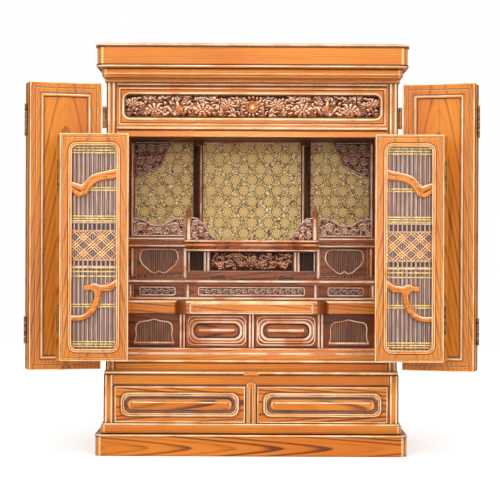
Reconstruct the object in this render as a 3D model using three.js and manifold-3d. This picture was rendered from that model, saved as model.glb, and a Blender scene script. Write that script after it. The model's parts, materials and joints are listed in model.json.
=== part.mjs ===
// A table-top household altar cabinet, doors open, in millimetres with +Z up.
// The cabinet's front looks toward -Y and it stands on z = 0.
import * as THREE from "three";
import { mergeVertices } from "three/addons/utils/BufferGeometryUtils.js";
import Module from "manifold-3d";

const wasm = await Module();
wasm.setup();

// ---- driving sizes ----
const plinthHalfWidth = 229.75;
const plinthFront = -175;
const plinthTop = 31;
const plinthWall = 18;
const cornerRadius = 13;
const backFace = 172;
const mouldingHalfWidth = 222.25;
const mouldingTop = 46.75;
const bodyHalfWidth = 217.25;
const sideThickness = 14.25;
const drawerFace = -160;
const railBottom = 102.75;
const deckTop = 119.5;
const sillTop = 124;
const sillRailTop = 140;
const postFront = -141.5;
const headerFace = -139.5;
const headerBottom = 472.25;
const bodyTop = 552.5;
const corniceStart = 557.25;
const corniceStep = 571;
const corniceLip = 602.5;
const corniceTop = 606.5;
const innerBack = 160;
const ceilingHeight = 484;

const outerLeafWidth = 107.5;
const outerLeafThickness = 17;
const outerLeafBottom = 124.9;
const outerLeafTop = 550.5;
const outerLeafBack = -143.5;
const outerAxisX = 220.5;
const outerAxisY = -142;
const outerEdgeGap = 3;
const outerOpenAngle = 163;
const outerFoldAngle = 178;

const innerLeafWidth = 99;
const innerLeafThickness = 14;
const innerLeafBottom = 142.5;
const innerLeafTop = 470.4;
const innerAxisX = 202.25;
const innerAxisY = -141;
const innerEdgeGap = 1;
const innerOpenAngle = 146;
const leafGap = 1;
const foldClearance = 0.5;

// ---- worked-out positions ----
const innerHalfWidth = bodyHalfWidth - sideThickness;
const outerLeafHeight = outerLeafTop - outerLeafBottom;
const innerLeafHeight = innerLeafTop - innerLeafBottom;
const outerLeafFront = outerLeafBack - outerLeafThickness;

const degrees = Math.PI / 180;
const group = new THREE.Group();

// ---- finishes ----
const finishes = {
  outerWood: { color: 0xc9762c, roughness: 0.32, metalness: 0 },
  innerWood: { color: 0x5a2815, roughness: 0.35, metalness: 0 },
  brocade: { color: 0xa08a52, roughness: 0.7, metalness: 0.1 },
  brass: { color: 0xc79a4a, roughness: 0.3, metalness: 1 },
};

function finish(name) {
  return new THREE.MeshStandardMaterial(finishes[name]);
}

// ---- helpers for closed solids ----
function solid(geometry) {
  const bare = geometry.clone();
  bare.deleteAttribute("normal");
  bare.deleteAttribute("uv");
  const merged = mergeVertices(bare, 1e-4);
  return new wasm.Manifold(new wasm.Mesh({
    numProp: 3,
    vertProperties: new Float32Array(merged.attributes.position.array),
    triVerts: new Uint32Array(merged.index.array),
  }));
}

function geometryOf(body) {
  const mesh = body.getMesh();
  const geometry = new THREE.BufferGeometry();
  geometry.setAttribute("position", new THREE.BufferAttribute(mesh.vertProperties, 3));
  geometry.setIndex(new THREE.BufferAttribute(mesh.triVerts, 1));
  geometry.computeVertexNormals();
  return geometry;
}

function addPiece(name, body, finishName, parent = group) {
  const mesh = new THREE.Mesh(geometryOf(body), finish(finishName));
  mesh.name = name;
  parent.add(mesh);
  return mesh;
}

// The piece as drawn goes on the left; the right one is its mirror image.
function addPair(name, leftBody, finishName) {
  addPiece(`${name}_left`, leftBody, finishName);
  addPiece(`${name}_right`, leftBody.mirror([1, 0, 0]), finishName);
}

function joined(bodies) {
  return wasm.Manifold.union(bodies);
}

function block(x0, x1, y0, y1, z0, z1) {
  const geometry = new THREE.BoxGeometry(x1 - x0, y1 - y0, z1 - z0);
  geometry.translate((x0 + x1) / 2, (y0 + y1) / 2, (z0 + z1) / 2);
  return solid(geometry);
}

function shapeOf(points) {
  return new THREE.Shape(points.map(([a, b]) => new THREE.Vector2(a, b)));
}

function extruded(shape, depth, bevel, segments = 2, curveSegments = 6) {
  return new THREE.ExtrudeGeometry(shape, {
    depth: depth - 2 * bevel,
    bevelEnabled: bevel > 0,
    bevelThickness: bevel,
    bevelSize: bevel,
    bevelOffset: -bevel,
    bevelSegments: segments,
    curveSegments,
  }).translate(0, 0, bevel);
}

// A plan outline raised from z0 to z1.
function upward(shape, z0, z1, bevel = 0, segments = 2, curveSegments = 6) {
  return solid(extruded(shape, z1 - z0, bevel, segments, curveSegments).translate(0, 0, z0));
}

// A front-view outline in x and z, given depth from y0 back to y1.
function backward(shape, y0, y1, bevel = 0, segments = 2, curveSegments = 6) {
  const geometry = extruded(shape, y1 - y0, bevel, segments, curveSegments);
  const turn = new THREE.Matrix4().makeBasis(
    new THREE.Vector3(1, 0, 0),
    new THREE.Vector3(0, 0, 1),
    new THREE.Vector3(0, -1, 0),
  );
  geometry.applyMatrix4(turn);
  return solid(geometry.translate(0, y1, 0));
}

// A side-view outline in y and z, run along X.
function sideways(points, x0, x1) {
  const geometry = extruded(shapeOf(points), x1 - x0, 0);
  const turn = new THREE.Matrix4().makeBasis(
    new THREE.Vector3(0, 1, 0),
    new THREE.Vector3(0, 0, 1),
    new THREE.Vector3(1, 0, 0),
  );
  geometry.applyMatrix4(turn);
  return solid(geometry.translate(x0, 0, 0));
}

function arcPoints(x, y, radius, fromAngle, toAngle, steps) {
  const points = [];
  for (let i = 0; i <= steps; i += 1) {
    const angle = (fromAngle + ((toAngle - fromAngle) * i) / steps) * degrees;
    points.push([x + radius * Math.cos(angle), y + radius * Math.sin(angle)]);
  }
  return points;
}

// A board outline with square back corners and rounded front corners.
function boardOutline(halfWidth, front, back, radius) {
  return shapeOf([
    ...arcPoints(-halfWidth + radius, front + radius, radius, 180, 270, 5),
    ...arcPoints(halfWidth - radius, front + radius, radius, 270, 360, 5),
    [halfWidth, back],
    [-halfWidth, back],
  ]);
}

function roundedRectangle(x0, x1, z0, z1, radius, steps = 4) {
  return shapeOf([
    ...arcPoints(x1 - radius, z0 + radius, radius, 270, 360, steps),
    ...arcPoints(x1 - radius, z1 - radius, radius, 0, 90, steps),
    ...arcPoints(x0 + radius, z1 - radius, radius, 90, 180, steps),
    ...arcPoints(x0 + radius, z0 + radius, radius, 180, 270, steps),
  ]);
}

// A raised bead that follows a rounded rectangle on a front face.
function beadRing(x0, x1, z0, z1, radius, width, y0, y1, bevel, steps = 4) {
  const outer = backward(roundedRectangle(x0, x1, z0, z1, radius, steps), y0, y1, bevel, 1);
  const inner = roundedRectangle(
    x0 + width, x1 - width, z0 + width, z1 - width, Math.max(radius - width, 0.6), steps,
  );
  return outer.subtract(backward(inner, y0 - 1, y1 + 1));
}

// Two round beads side by side, run upward: the cabinet's front post.
function doubleBead(x0, x1, front, back, z0, z1) {
  const radius = (x1 - x0) / 4;
  const points = [
    [x1, back],
    [x0, back],
    ...arcPoints(x0 + radius, front + radius, radius, 180, 360, 8).slice(0, -1),
    ...arcPoints(x1 - radius, front + radius, radius, 180, 360, 8),
  ];
  return upward(shapeOf(points.reverse()), z0, z1);
}

// ---- plinth ----
function plinthFrame() {
  const outer = upward(
    boardOutline(plinthHalfWidth, plinthFront, backFace, cornerRadius), 0, plinthTop, 0,
  );
  const room = block(
    -plinthHalfWidth + plinthWall, plinthHalfWidth - plinthWall,
    plinthFront + plinthWall, backFace + 1, -1, plinthTop + 1,
  );
  return outer.subtract(room);
}

function plinthMoulding() {
  const outline = boardOutline(mouldingHalfWidth, -168, backFace, cornerRadius - 3);
  return upward(outline, plinthTop, mouldingTop, 5, 3);
}

addPiece("plinth_frame", plinthFrame(), "outerWood");
addPiece("plinth_bottom", block(
  -plinthHalfWidth + plinthWall, plinthHalfWidth - plinthWall,
  plinthFront + plinthWall, backFace, 0, 7,
), "outerWood");
addPiece("plinth_moulding", plinthMoulding(), "outerWood");

// ---- carcass ----
function sideBoard() {
  const points = [
    [drawerFace, mouldingTop],
    [backFace, mouldingTop],
    [backFace, bodyTop],
    [postFront + 12, bodyTop],
    [postFront + 12, deckTop],
    [drawerFace, deckTop],
  ];
  return sideways(points, -bodyHalfWidth, -innerHalfWidth);
}

function sillBoard() {
  const board = block(-bodyHalfWidth, bodyHalfWidth, -160, postFront + 12, deckTop, sillTop);
  const bead = sideways([
    [-160, deckTop],
    [-160, sillTop],
    [-161.6, sillTop - 0.5],
    [-162.6, sillTop - 1.6],
    [-162.6, deckTop + 1.4],
    [-161.6, deckTop + 0.4],
  ].reverse(), -bodyHalfWidth, bodyHalfWidth);
  const knob = backward(roundedRectangle(-11.5, 11.5, 118.4, 124, 2.4), -165, -161, 0.8, 1);
  return joined([board, bead, knob]);
}

function divider() {
  const board = block(-7.3, 7.3, drawerFace, innerBack, mouldingTop, railBottom);
  const front = shapeOf([
    [-7.3, mouldingTop],
    [7.3, mouldingTop],
    ...arcPoints(0, railBottom - 1.5, 7.3, 0, 180, 8),
  ]);
  return joined([board, backward(front, drawerFace - 4, drawerFace, 1.6, 2)]);
}

addPair("side_board", sideBoard(), "outerWood");
addPiece("back_panel", block(
  -innerHalfWidth, innerHalfWidth, innerBack, innerBack + 8, mouldingTop, bodyTop,
), "outerWood");
addPiece("drawer_deck", block(
  -innerHalfWidth, innerHalfWidth, drawerFace, innerBack, railBottom, deckTop,
), "outerWood");
addPiece("drawer_divider", divider(), "outerWood");
addPiece("sill_board", sillBoard(), "outerWood");
addPiece("sill_rail", sideways([
  [-140, sillTop],
  [-129, sillTop],
  [-129, sillRailTop],
  [-138.6, sillRailTop],
  [-140.6, sillRailTop - 1],
  [-141.2, sillRailTop - 2.5],
  [-140.6, sillRailTop - 4],
  [-140, sillRailTop - 4.6],
], -innerAxisX, innerAxisX), "outerWood");
addPair("front_post", doubleBead(
  -bodyHalfWidth, -innerAxisX, postFront, postFront + 12, sillTop, bodyTop,
), "outerWood");

// ---- header, carved transom and cornice ----
const transomHalfWidth = 190.6;
const transomBottom = 499.7;
const transomTop = 535;
const transomFloor = -131.5;

function header() {
  const board = block(-innerAxisX, innerAxisX, headerFace, -125.5, headerBottom, bodyTop);
  const recess = backward(
    roundedRectangle(-transomHalfWidth, transomHalfWidth, transomBottom, transomTop, 8),
    headerFace - 1, transomFloor,
  );
  const border = beadRing(
    -transomHalfWidth - 3, transomHalfWidth + 3, transomBottom - 3, transomTop + 3,
    11, 3, headerFace - 1.6, headerFace + 1, 0.7,
  );
  const bead = sideways([
    [headerFace, 482.4],
    [headerFace, 486.5],
    [headerFace - 2.4, 486.1],
    [headerFace - 3.3, 484.5],
    [headerFace - 2.4, 482.8],
  ], -innerAxisX, innerAxisX);
  const topBead = sideways([
    [headerFace, 548],
    [headerFace, 551.4],
    [headerFace - 1.6, 551],
    [headerFace - 2.2, 549.7],
    [headerFace - 1.6, 548.4],
  ], -innerAxisX, innerAxisX);
  return joined([board.subtract(recess), border, bead, topBead]);
}

// A many-petalled flower head, seen from the front.
function flower(x, z, radius, petals, y0, y1) {
  const points = [];
  const steps = petals * 3;
  for (let i = 0; i < steps; i += 1) {
    const angle = (i / steps) * 2 * Math.PI;
    const reach = radius * (i % 3 === 0 ? 0.74 : 1);
    points.push([x + reach * Math.cos(angle), z + reach * 0.82 * Math.sin(angle)]);
  }
  const ease = radius * 0.08;
  const head = backward(shapeOf(points), y0 + radius * 0.12, y1);
  const heart = backward(roundedRectangle(
    x - radius * 0.42, x + radius * 0.42, z - radius * 0.36, z + radius * 0.36, radius * 0.34, 2,
  ), y0, y1 - 1, ease, 1);
  return joined([head, heart]);
}

// A pointed leaf, turned by an angle in degrees.
function leaf(x, z, length, width, angle, y0, y1) {
  const turned = [];
  const sides = [
    [-0.5, 0], [-0.2, -0.42], [0.15, -0.46], [0.5, 0], [0.15, 0.46], [-0.2, 0.42],
  ];
  for (const [along, across] of sides) {
    const a = along * length;
    const b = across * width;
    const turn = angle * degrees;
    turned.push([
      x + a * Math.cos(turn) - b * Math.sin(turn),
      z + a * Math.sin(turn) + b * Math.cos(turn),
    ]);
  }
  return backward(shapeOf(turned), y0, y1);
}

function transomCarving() {
  const floorPlate = backward(roundedRectangle(
    -transomHalfWidth + 0.4, transomHalfWidth - 0.4, transomBottom + 0.4, transomTop - 0.4, 7.6,
  ), transomFloor - 1.5, transomFloor - 0.2);
  const front = headerFace + 0.8;
  const back = transomFloor - 1;
  const middle = (transomBottom + transomTop) / 2;
  const pieces = [floorPlate];
  for (const side of [-1, 1]) {
    for (const distance of [48, 106, 164]) {
      pieces.push(flower(side * distance, middle + 1, 15, 7, front, back));
    }
    for (const distance of [24, 77, 135]) {
      pieces.push(leaf(side * distance, middle + 7, 24, 9, side * 52, front + 1, back));
      pieces.push(leaf(side * (distance - 4), middle - 8, 26, 8, side * -28, front + 1.4, back));
      pieces.push(leaf(side * (distance + 5), middle - 5, 22, 8, side * 74, front + 2, back));
    }
    pieces.push(leaf(side * 182, middle + 2, 26, 8, side * 78, front + 1.2, back));
  }
  pieces.push(backward(roundedRectangle(-8, 8, middle - 10, middle + 12, 6), front, back, 1.2, 1));
  return joined(pieces);
}

function corniceLower() {
  const board = upward(
    boardOutline(mouldingHalfWidth, -167, backFace, cornerRadius - 3),
    corniceStart, corniceStep, 3.5, 3,
  );
  return board;
}

function corniceUpper() {
  const band = upward(
    boardOutline(229.2, -175, backFace, cornerRadius + 2), corniceStep, corniceLip, 4, 3,
  );
  const flat = upward(
    boardOutline(229.2, -175, backFace, cornerRadius + 2), corniceLip - 6, corniceLip,
  );
  const lip = upward(
    boardOutline(230.7, -176.5, backFace, cornerRadius + 3), corniceLip, corniceTop, 1.2, 1,
  );
  const topBoardUnder = corniceLip - 7;
  const room = block(-209, 209, -155, backFace + 1, corniceStep - 1, topBoardUnder);
  const tray = block(-209, 209, -155, backFace - 20, corniceLip, corniceTop + 1);
  return joined([band, flat, lip]).subtract(joined([room, tray]));
}

addPiece("header", header(), "outerWood");
addPiece("transom_carving", transomCarving(), "outerWood");
addPiece("header_moulding", upward(
  boardOutline(219.3, -150, backFace, 4), bodyTop, corniceStart,
), "outerWood");
addPiece("cornice_lower", corniceLower(), "outerWood");
addPiece("cornice_upper", corniceUpper(), "outerWood");

// ---- big drawers ----
function stadium(x, z, halfLength, halfHeight, steps = 6) {
  const reach = halfLength - halfHeight;
  return shapeOf([
    ...arcPoints(x + reach, z, halfHeight, -90, 90, steps),
    ...arcPoints(x - reach, z, halfHeight, 90, 270, steps),
  ]);
}

function drawer(sizes) {
  const { x0, x1, z0, z1, face, frontThickness, length, wall } = sizes;
  const middleX = (x0 + x1) / 2;
  const middleZ = (z0 + z1) / 2;
  const slab = backward(
    roundedRectangle(x0, x1, z0, z1, 1.5, 1), face, face + frontThickness, 1, 1,
  );
  const ring = backward(
    stadium(middleX, middleZ, sizes.ringHalfLength, sizes.ringHalfHeight), face - 1.3, face + 2, 1, 1,
  ).subtract(backward(
    stadium(middleX, middleZ, sizes.ringHalfLength - 3.2, sizes.ringHalfHeight - 3.2),
    face - 3, face + 3,
  ));
  const bar = backward(
    stadium(middleX, middleZ, sizes.barHalfLength, sizes.barHalfHeight), face - 3.2, face + 2, 2, 2,
  );
  const tray = block(
    x0 + 3, x1 - 3, face + frontThickness - 1, face + length, z0 + 1.5, z1 - 6,
  );
  const room = block(
    x0 + 3 + wall, x1 - 3 - wall, face + frontThickness, face + length - wall,
    z0 + 1.5 + wall * 0.7, z1 + 1,
  );
  return joined([slab, ring, bar, tray.subtract(room)]);
}

const bigDrawer = drawer({
  x0: -202.2, x1: -8.3, z0: 47.4, z1: 102.1, face: -161.5, frontThickness: 15, length: 285,
  wall: 8, ringHalfLength: 86.3, ringHalfHeight: 17.1, barHalfLength: 76.2, barHalfHeight: 7.7,
});
addPair("drawer", bigDrawer, "outerWood");

// ---- interior carcass ----
addPiece("altar_floor", block(
  -innerHalfWidth, innerHalfWidth, -129, innerBack, sillTop, 136,
), "innerWood");
addPiece("ceiling", block(
  -innerHalfWidth, innerHalfWidth, -125.5, innerBack, ceilingHeight, 490,
), "innerWood");
addPiece("brocade_panel", block(
  -innerHalfWidth, innerHalfWidth, innerBack - 2.5, innerBack, 257, ceilingHeight,
), "brocade");

// ---- lower tier: cusped compartments, small drawers and their rails ----
const lowerFace = -85;
const lowerFloor = 154.5;
const railUnder = 206.5;
const railTop = 226;

addPiece("bottom_step", sideways([
  [-122, 136],
  [60, 136],
  [60, lowerFloor],
  [-102, lowerFloor],
  [-104, lowerFloor - 1.5],
  [-104, 149.4],
  [-119.5, 149],
  [-122, 146],
], -innerHalfWidth, innerHalfWidth), "innerWood");

// The flame-shaped window outline of the lower compartments, with a flared foot.
function flameWindow(middle, halfWidth, z0, z1) {
  const half = [
    [1.0, 0], [0.93, 0.12], [0.9, 0.35], [0.93, 0.58], [0.88, 0.78], [0.72, 0.88], [0.3, 0.93],
  ];
  const height = z1 - z0;
  const points = half.map(([a, b]) => [middle + a * halfWidth, z0 + b * height]);
  points.push([middle, z1]);
  for (const [a, b] of [...half].reverse()) points.push([middle - a * halfWidth, z0 + b * height]);
  return points;
}

// The shield-shaped window of the upper boxes, with a cusp in its lower edge.
function shieldWindow(middle, halfWidth, z0, z1) {
  const half = [
    [0.0, 0.1], [0.2, 0.0], [0.42, 0.06], [0.62, 0.2], [0.85, 0.36], [1.0, 0.6], [0.96, 0.85],
    [0.86, 0.97], [0.6, 1.0],
  ];
  const height = z1 - z0;
  const right = half.map(([a, b]) => [middle + a * halfWidth, z0 + b * height]);
  const left = half.slice(1).reverse().map(([a, b]) => [middle - a * halfWidth, z0 + b * height]);
  return [...right, ...left];
}

function lowerBox() {
  const panel = block(-innerHalfWidth, -101, lowerFace, lowerFace + 14, lowerFloor, railUnder);
  const guide = block(-109, -101, lowerFace + 13, 50, lowerFloor, railUnder);
  const window = backward(
    shapeOf(flameWindow(-148.3, 29, 162.5, 197.5)), lowerFace - 1, lowerFace + 3,
  );
  const foot = block(-178.5, -118, lowerFace - 2, lowerFace + 1, 158.5, 161.8);
  const posts = [
    block(-109, -106, lowerFace - 2.4, lowerFace + 1, lowerFloor, railUnder),
    block(-104, -101, lowerFace - 2.4, lowerFace + 1, lowerFloor, railUnder),
  ];
  return joined([panel, guide]).subtract(window).add(joined([foot, ...posts]));
}

addPair("lower_box", lowerBox(), "innerWood");
addPiece("nest_divider", joined([
  block(-4.4, 4.4, lowerFace - 1, 50, lowerFloor, railUnder),
  block(-3.2, 3.2, lowerFace - 3, lowerFace, lowerFloor, railUnder),
]), "innerWood");
addPair("small_drawer", drawer({
  x0: -100, x1: -5.6, z0: 155.4, z1: 205.4, face: lowerFace - 1, frontThickness: 12, length: 130,
  wall: 5, ringHalfLength: 43.5, ringHalfHeight: 17.6, barHalfLength: 30, barHalfHeight: 4.4,
}), "innerWood");

// A board whose middle stands forward with rounded corners.
function breakfront(halfWidth, sideFront, centreHalfWidth, centreFront, back, radius) {
  return shapeOf([
    [-halfWidth, sideFront],
    [-centreHalfWidth - 6, sideFront],
    [-centreHalfWidth, sideFront - 4],
    ...arcPoints(-centreHalfWidth + radius, centreFront + radius, radius, 180, 270, 6),
    ...arcPoints(centreHalfWidth - radius, centreFront + radius, radius, 270, 360, 6),
    [centreHalfWidth, sideFront - 4],
    [centreHalfWidth + 6, sideFront],
    [halfWidth, sideFront],
    [halfWidth, back],
    [-halfWidth, back],
  ]);
}

function projectingRail() {
  const outline = breakfront(innerHalfWidth, -93, 112, -112, -30, 12);
  const body = upward(outline, railUnder, railTop, 2.2, 2);
  const frame = beadRing(-91.5, 91.5, 208.8, 222.6, 3, 2, -113, -110, 0.8, 2);
  const ends = [-1, 1].map((side) => block(
    Math.min(side * 198, side * innerHalfWidth), Math.max(side * 198, side * innerHalfWidth),
    -92, -30, railUnder, railTop,
  ));
  const bed = block(-innerHalfWidth, innerHalfWidth, -80, -30, railUnder, railTop);
  return joined([body, frame, bed, ...ends]);
}

addPiece("projecting_rail", projectingRail(), "innerWood");

// ---- middle tier: the panel with three carved strips ----
const stripFace = -55;
const stripTop = 250;

function stripPanel() {
  const panel = block(-innerHalfWidth, innerHalfWidth, stripFace, stripFace + 12, railTop, stripTop);
  const bead = block(-innerHalfWidth, innerHalfWidth, stripFace - 12, stripFace + 1, railTop, 230.2);
  const recesses = [[-172, -118], [-81.5, 81.5], [118, 172]].map(([x0, x1]) => backward(
    roundedRectangle(x0, x1, 233.4, 245.4, 3, 2), stripFace - 1, stripFace + 3,
  ));
  const posts = [-185, -99.6, 99.6, 185].map((x) => block(
    x - 3, x + 3, stripFace - 3, stripFace + 1, 230.2, stripTop,
  ));
  return joined([panel, bead]).subtract(joined(recesses)).add(joined(posts));
}

addPiece("strip_panel", stripPanel(), "innerWood");
addPiece("step_board", block(
  -innerHalfWidth, innerHalfWidth, -62, innerBack, stripTop, 257,
), "innerWood");

// ---- upper tier: side boxes, dais and the altar shelf ----
const boxFace = -12;
const boxTop = 307.5;
const shelfTop = 323;
const centreShelfTop = 318.75;
const centreShelfUnder = 301;

function upperBox() {
  const panel = block(-innerHalfWidth, -102, boxFace, boxFace + 14, 257, boxTop);
  const window = backward(
    shapeOf(shieldWindow(-145.4, 29, 266.5, 304)), boxFace - 1, boxFace + 3,
  );
  const posts = [-187, -108].map((x) => block(
    x, x + 6, boxFace - 2.5, boxFace + 1, 263.4, boxTop,
  ));
  const foot = block(-innerHalfWidth, -102, boxFace - 8, boxFace + 1, 257, 259);
  const dentils = [];
  for (let i = 0; i < 9; i += 1) {
    const x = -197 + i * 10.6;
    dentils.push(block(x, x + 7, boxFace - 5, boxFace + 1, 258.5, 262.5));
  }
  return panel.subtract(window).add(joined([...posts, foot, ...dentils]));
}

function dais() {
  const wall = block(-102, 102, boxFace + 12, boxFace + 22, 257, centreShelfUnder);
  const posts = [];
  for (const side of [-1, 1]) {
    for (const x of [68.5, 73.6]) {
      posts.push(block(
        side * x - 1.6, side * x + 1.6, boxFace + 5, boxFace + 13, 257, centreShelfUnder,
      ));
    }
  }
  const apron = shapeOf([
    [-102, 257], [-70, 257], [-64, 261], [-54, 263.5], [-43, 263.5], [-40, 257],
    [-24, 257], [-14, 259.6], [0, 257.8], [14, 259.6], [24, 257],
    [40, 257], [43, 263.5], [54, 263.5], [64, 261], [70, 257], [102, 257],
    [102, 270], [-102, 270],
  ]);
  const base = backward(apron, boxFace - 3, boxFace + 6);
  const ledge = block(-102, 102, boxFace - 3, boxFace + 14, 266, 270);
  return joined([wall, ...posts, base, ledge]);
}

// A generic scroll-and-feather relief on a thin plate.
function daisCarving() {
  const face = boxFace + 7;
  const plate = block(-64, 64, face + 3, boxFace + 12, 271.5, 299.5);
  const pieces = [plate];
  for (const side of [-1, 1]) {
    pieces.push(flower(side * 18, 286, 9, 6, face, face + 4));
    pieces.push(leaf(side * 38, 290, 26, 7, side * 20, face + 0.5, face + 4));
    pieces.push(leaf(side * 42, 280, 28, 6, side * -16, face + 0.8, face + 4));
    pieces.push(leaf(side * 56, 287, 20, 6, side * 70, face + 0.6, face + 4));
    pieces.push(leaf(side * 26, 277, 18, 5, side * 30, face + 0.8, face + 4));
  }
  pieces.push(leaf(0, 286, 24, 10, 90, face, face + 4));
  return joined(pieces);
}

function altarShelf() {
  const profile = [
    [boxFace - 10, boxTop],
    [boxFace + 40, boxTop],
    [innerBack - 2.5, boxTop],
    [innerBack - 2.5, shelfTop],
    [boxFace - 12, shelfTop],
    [boxFace - 14, shelfTop - 2],
    [boxFace - 14, 317],
    [boxFace - 11, 315.5],
    [boxFace - 11, 311.5],
    [boxFace - 13, 310.5],
    [boxFace - 13, 308.5],
  ];
  const left = sideways(profile, -innerHalfWidth, -104);
  const right = sideways(profile, 104, innerHalfWidth);
  const centre = [];
  for (let i = 0; i <= 12; i += 1) {
    const x = -106 + (212 * i) / 12;
    centre.push([x, -26 - 24 * Math.cos((x / 106) * 90 * degrees) ** 0.7]);
  }
  centre.push([106, innerBack - 2.5]);
  centre.push([-106, innerBack - 2.5]);
  const middle = upward(shapeOf(centre), centreShelfUnder, centreShelfTop, 2, 2)
    .add(block(-106, 106, -24, innerBack - 2.5, centreShelfUnder, centreShelfTop));
  const boxClearance = joined([
    block(-innerHalfWidth - 1, -102, boxFace - 20, boxFace + 15, centreShelfUnder - 1, boxTop),
    block(102, innerHalfWidth + 1, boxFace - 20, boxFace + 15, centreShelfUnder - 1, boxTop),
  ]);
  return joined([left, right, middle]).subtract(boxClearance);
}

addPair("upper_box", upperBox(), "innerWood");
addPiece("dais", dais(), "innerWood");
addPiece("dais_carving", daisCarving(), "innerWood");
addPiece("altar_shelf", altarShelf(), "innerWood");

// ---- railings, columns and corner brackets ----
function sideRailing() {
  const outline = shapeOf([
    [-186, shelfTop], [-106.5, shelfTop], [-106.5, 352], [-112, 353], [-124, 350.5],
    [-132, 345], [-138, 340.5], [-158, 340.5], [-163, 346], [-172, 351], [-186, 352],
  ]);
  for (const x of [-174, -121]) {
    const hole = new THREE.Path();
    hole.absellipse(x, 338, 6.5, 5, 0, 2 * Math.PI, true);
    outline.holes.push(hole);
  }
  const slot = new THREE.Path();
  slot.absellipse(-148, 332, 9, 3.6, 0, 2 * Math.PI, true);
  outline.holes.push(slot);
  return backward(outline, boxFace - 9, boxFace - 5, 0, 1, 4);
}

function newelAndSteps() {
  const x = -99;
  const y = boxFace - 9;
  const post = block(x - 4, x + 4, y - 4, y + 4, centreShelfTop, 353.5);
  const finial = new THREE.LatheGeometry([
    [0, 0], [3.4, 0], [2.2, 2.4], [4.4, 6], [3.8, 10], [1.6, 15], [0.9, 18], [0, 19.8],
  ].map(([r, z]) => new THREE.Vector2(r, z)), 12);
  finial.rotateX(90 * degrees);
  finial.translate(x, y, 353);
  const outline = shapeOf([
    [-96, centreShelfTop], [-56, centreShelfTop], [-60, 323], [-66, 326], [-68, 333],
    [-73, 337], [-75, 344], [-82, 347], [-84, 353], [-96, 353],
  ]);
  for (const [hx, hz, rx, rz] of [[-89, 344, 4, 5], [-81, 333, 5, 5], [-88, 325, 4, 3]]) {
    const hole = new THREE.Path();
    hole.absellipse(hx, hz, rx, rz, 0, 2 * Math.PI, true);
    outline.holes.push(hole);
  }
  return joined([post, solid(finial), backward(outline, y - 2, y + 2, 0, 1, 4)]);
}

function postAndBracket() {
  const y0 = 140;
  const y1 = 148;
  const post = block(-innerHalfWidth, -195, y0 - 4, y1 + 4, shelfTop, ceilingHeight);
  const outline = shapeOf([
    [-196, ceilingHeight], [-196, 421], [-184.6, 427.4], [-169.7, 435.7], [-152, 441],
    [-148.5, 451], [-145.5, 456], [-142, 466.5], [-139, 472], [-135.6, 479], [-135.6, ceilingHeight],
  ]);
  const holes = [
    [-184, 470, 6, 7], [-168, 469, 6, 8], [-153, 470, 5, 7], [-185, 450, 5, 7],
    [-170, 451, 6, 6], [-156, 453, 4, 5], [-187, 434, 3.5, 4],
  ];
  for (const [hx, hz, rx, rz] of holes) {
    const hole = new THREE.Path();
    hole.absellipse(hx, hz, rx, rz, 0, 2 * Math.PI, true);
    outline.holes.push(hole);
  }
  return joined([post, backward(outline, y0, y0 + 5, 0, 1, 3)]);
}

function column() {
  const shaft = new THREE.CylinderGeometry(5.6, 5.6, ceilingHeight - centreShelfTop, 16);
  shaft.rotateX(90 * degrees);
  shaft.translate(-86.8, 136, (ceilingHeight + centreShelfTop) / 2);
  const foot = block(-94, -79.6, 129, 143, centreShelfTop, centreShelfTop + 6);
  const cap = block(-94, -79.6, 129, 143, ceilingHeight - 8, ceilingHeight);
  return joined([solid(shaft), foot, cap]);
}

addPair("side_railing", sideRailing(), "innerWood");
addPair("newel_and_steps", newelAndSteps(), "innerWood");
addPair("post_and_bracket", postAndBracket(), "innerWood");
addPair("column", column(), "innerWood");

// ---- outer door leaves, drawn closed from the hinge axis to the right ----
function outerLeaf(x0, y0) {
  const x1 = x0 + outerLeafWidth;
  const y1 = y0 + outerLeafThickness;
  const z0 = outerLeafBottom;
  const z1 = outerLeafTop;
  const slab = backward(roundedRectangle(x0, x1, z0, z1, 0.8, 1), y0, y1, 0.7, 1);
  const stile = 16.2;
  const cut = (from, to) => block(x0 + stile, x1 - stile, from, to, z0 + stile, z1 - stile);
  const insideBead = beadRing(
    x0 + stile - 0.5, x1 - stile + 0.5, z0 + stile - 0.5, z1 - stile + 0.5, 1.2, 5,
    y1 - 4.6, y1 - 1.2, 1.3, 1,
  );
  const outsideBead = beadRing(
    x0 + stile - 0.5, x1 - stile + 0.5, z0 + stile - 0.5, z1 - stile + 0.5, 1.2, 5,
    y0 + 1.2, y0 + 4.6, 1.3, 1,
  );
  const groove = (from, to) => beadRing(
    x0 + 7.4, x1 - 7.4, z0 + 7.4, z1 - 7.4, 0.8, 1.8, from, to, 0, 1,
  );
  return slab
    .subtract(joined([cut(y0 - 1, y0 + 4), cut(y1 - 4, y1 + 1)]))
    .subtract(joined([groove(y0 - 1, y0 + 1.2), groove(y1 - 1.2, y1 + 1)]))
    .add(joined([insideBead, outsideBead]));
}

// ---- inner lattice leaves, drawn closed ----
function tubePath(points) {
  return new THREE.CatmullRomCurve3(points.map(([x, y, z]) => new THREE.Vector3(x, y, z)));
}

function branch(points, width, depth, steps) {
  const section = shapeOf(arcPoints(0, 0, 1, 30, 330, 5).map(([a, b]) => [a * depth, b * width]));
  const geometry = new THREE.ExtrudeGeometry(section, {
    steps, extrudePath: tubePath(points), bevelEnabled: false,
  });
  return solid(geometry);
}

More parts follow.
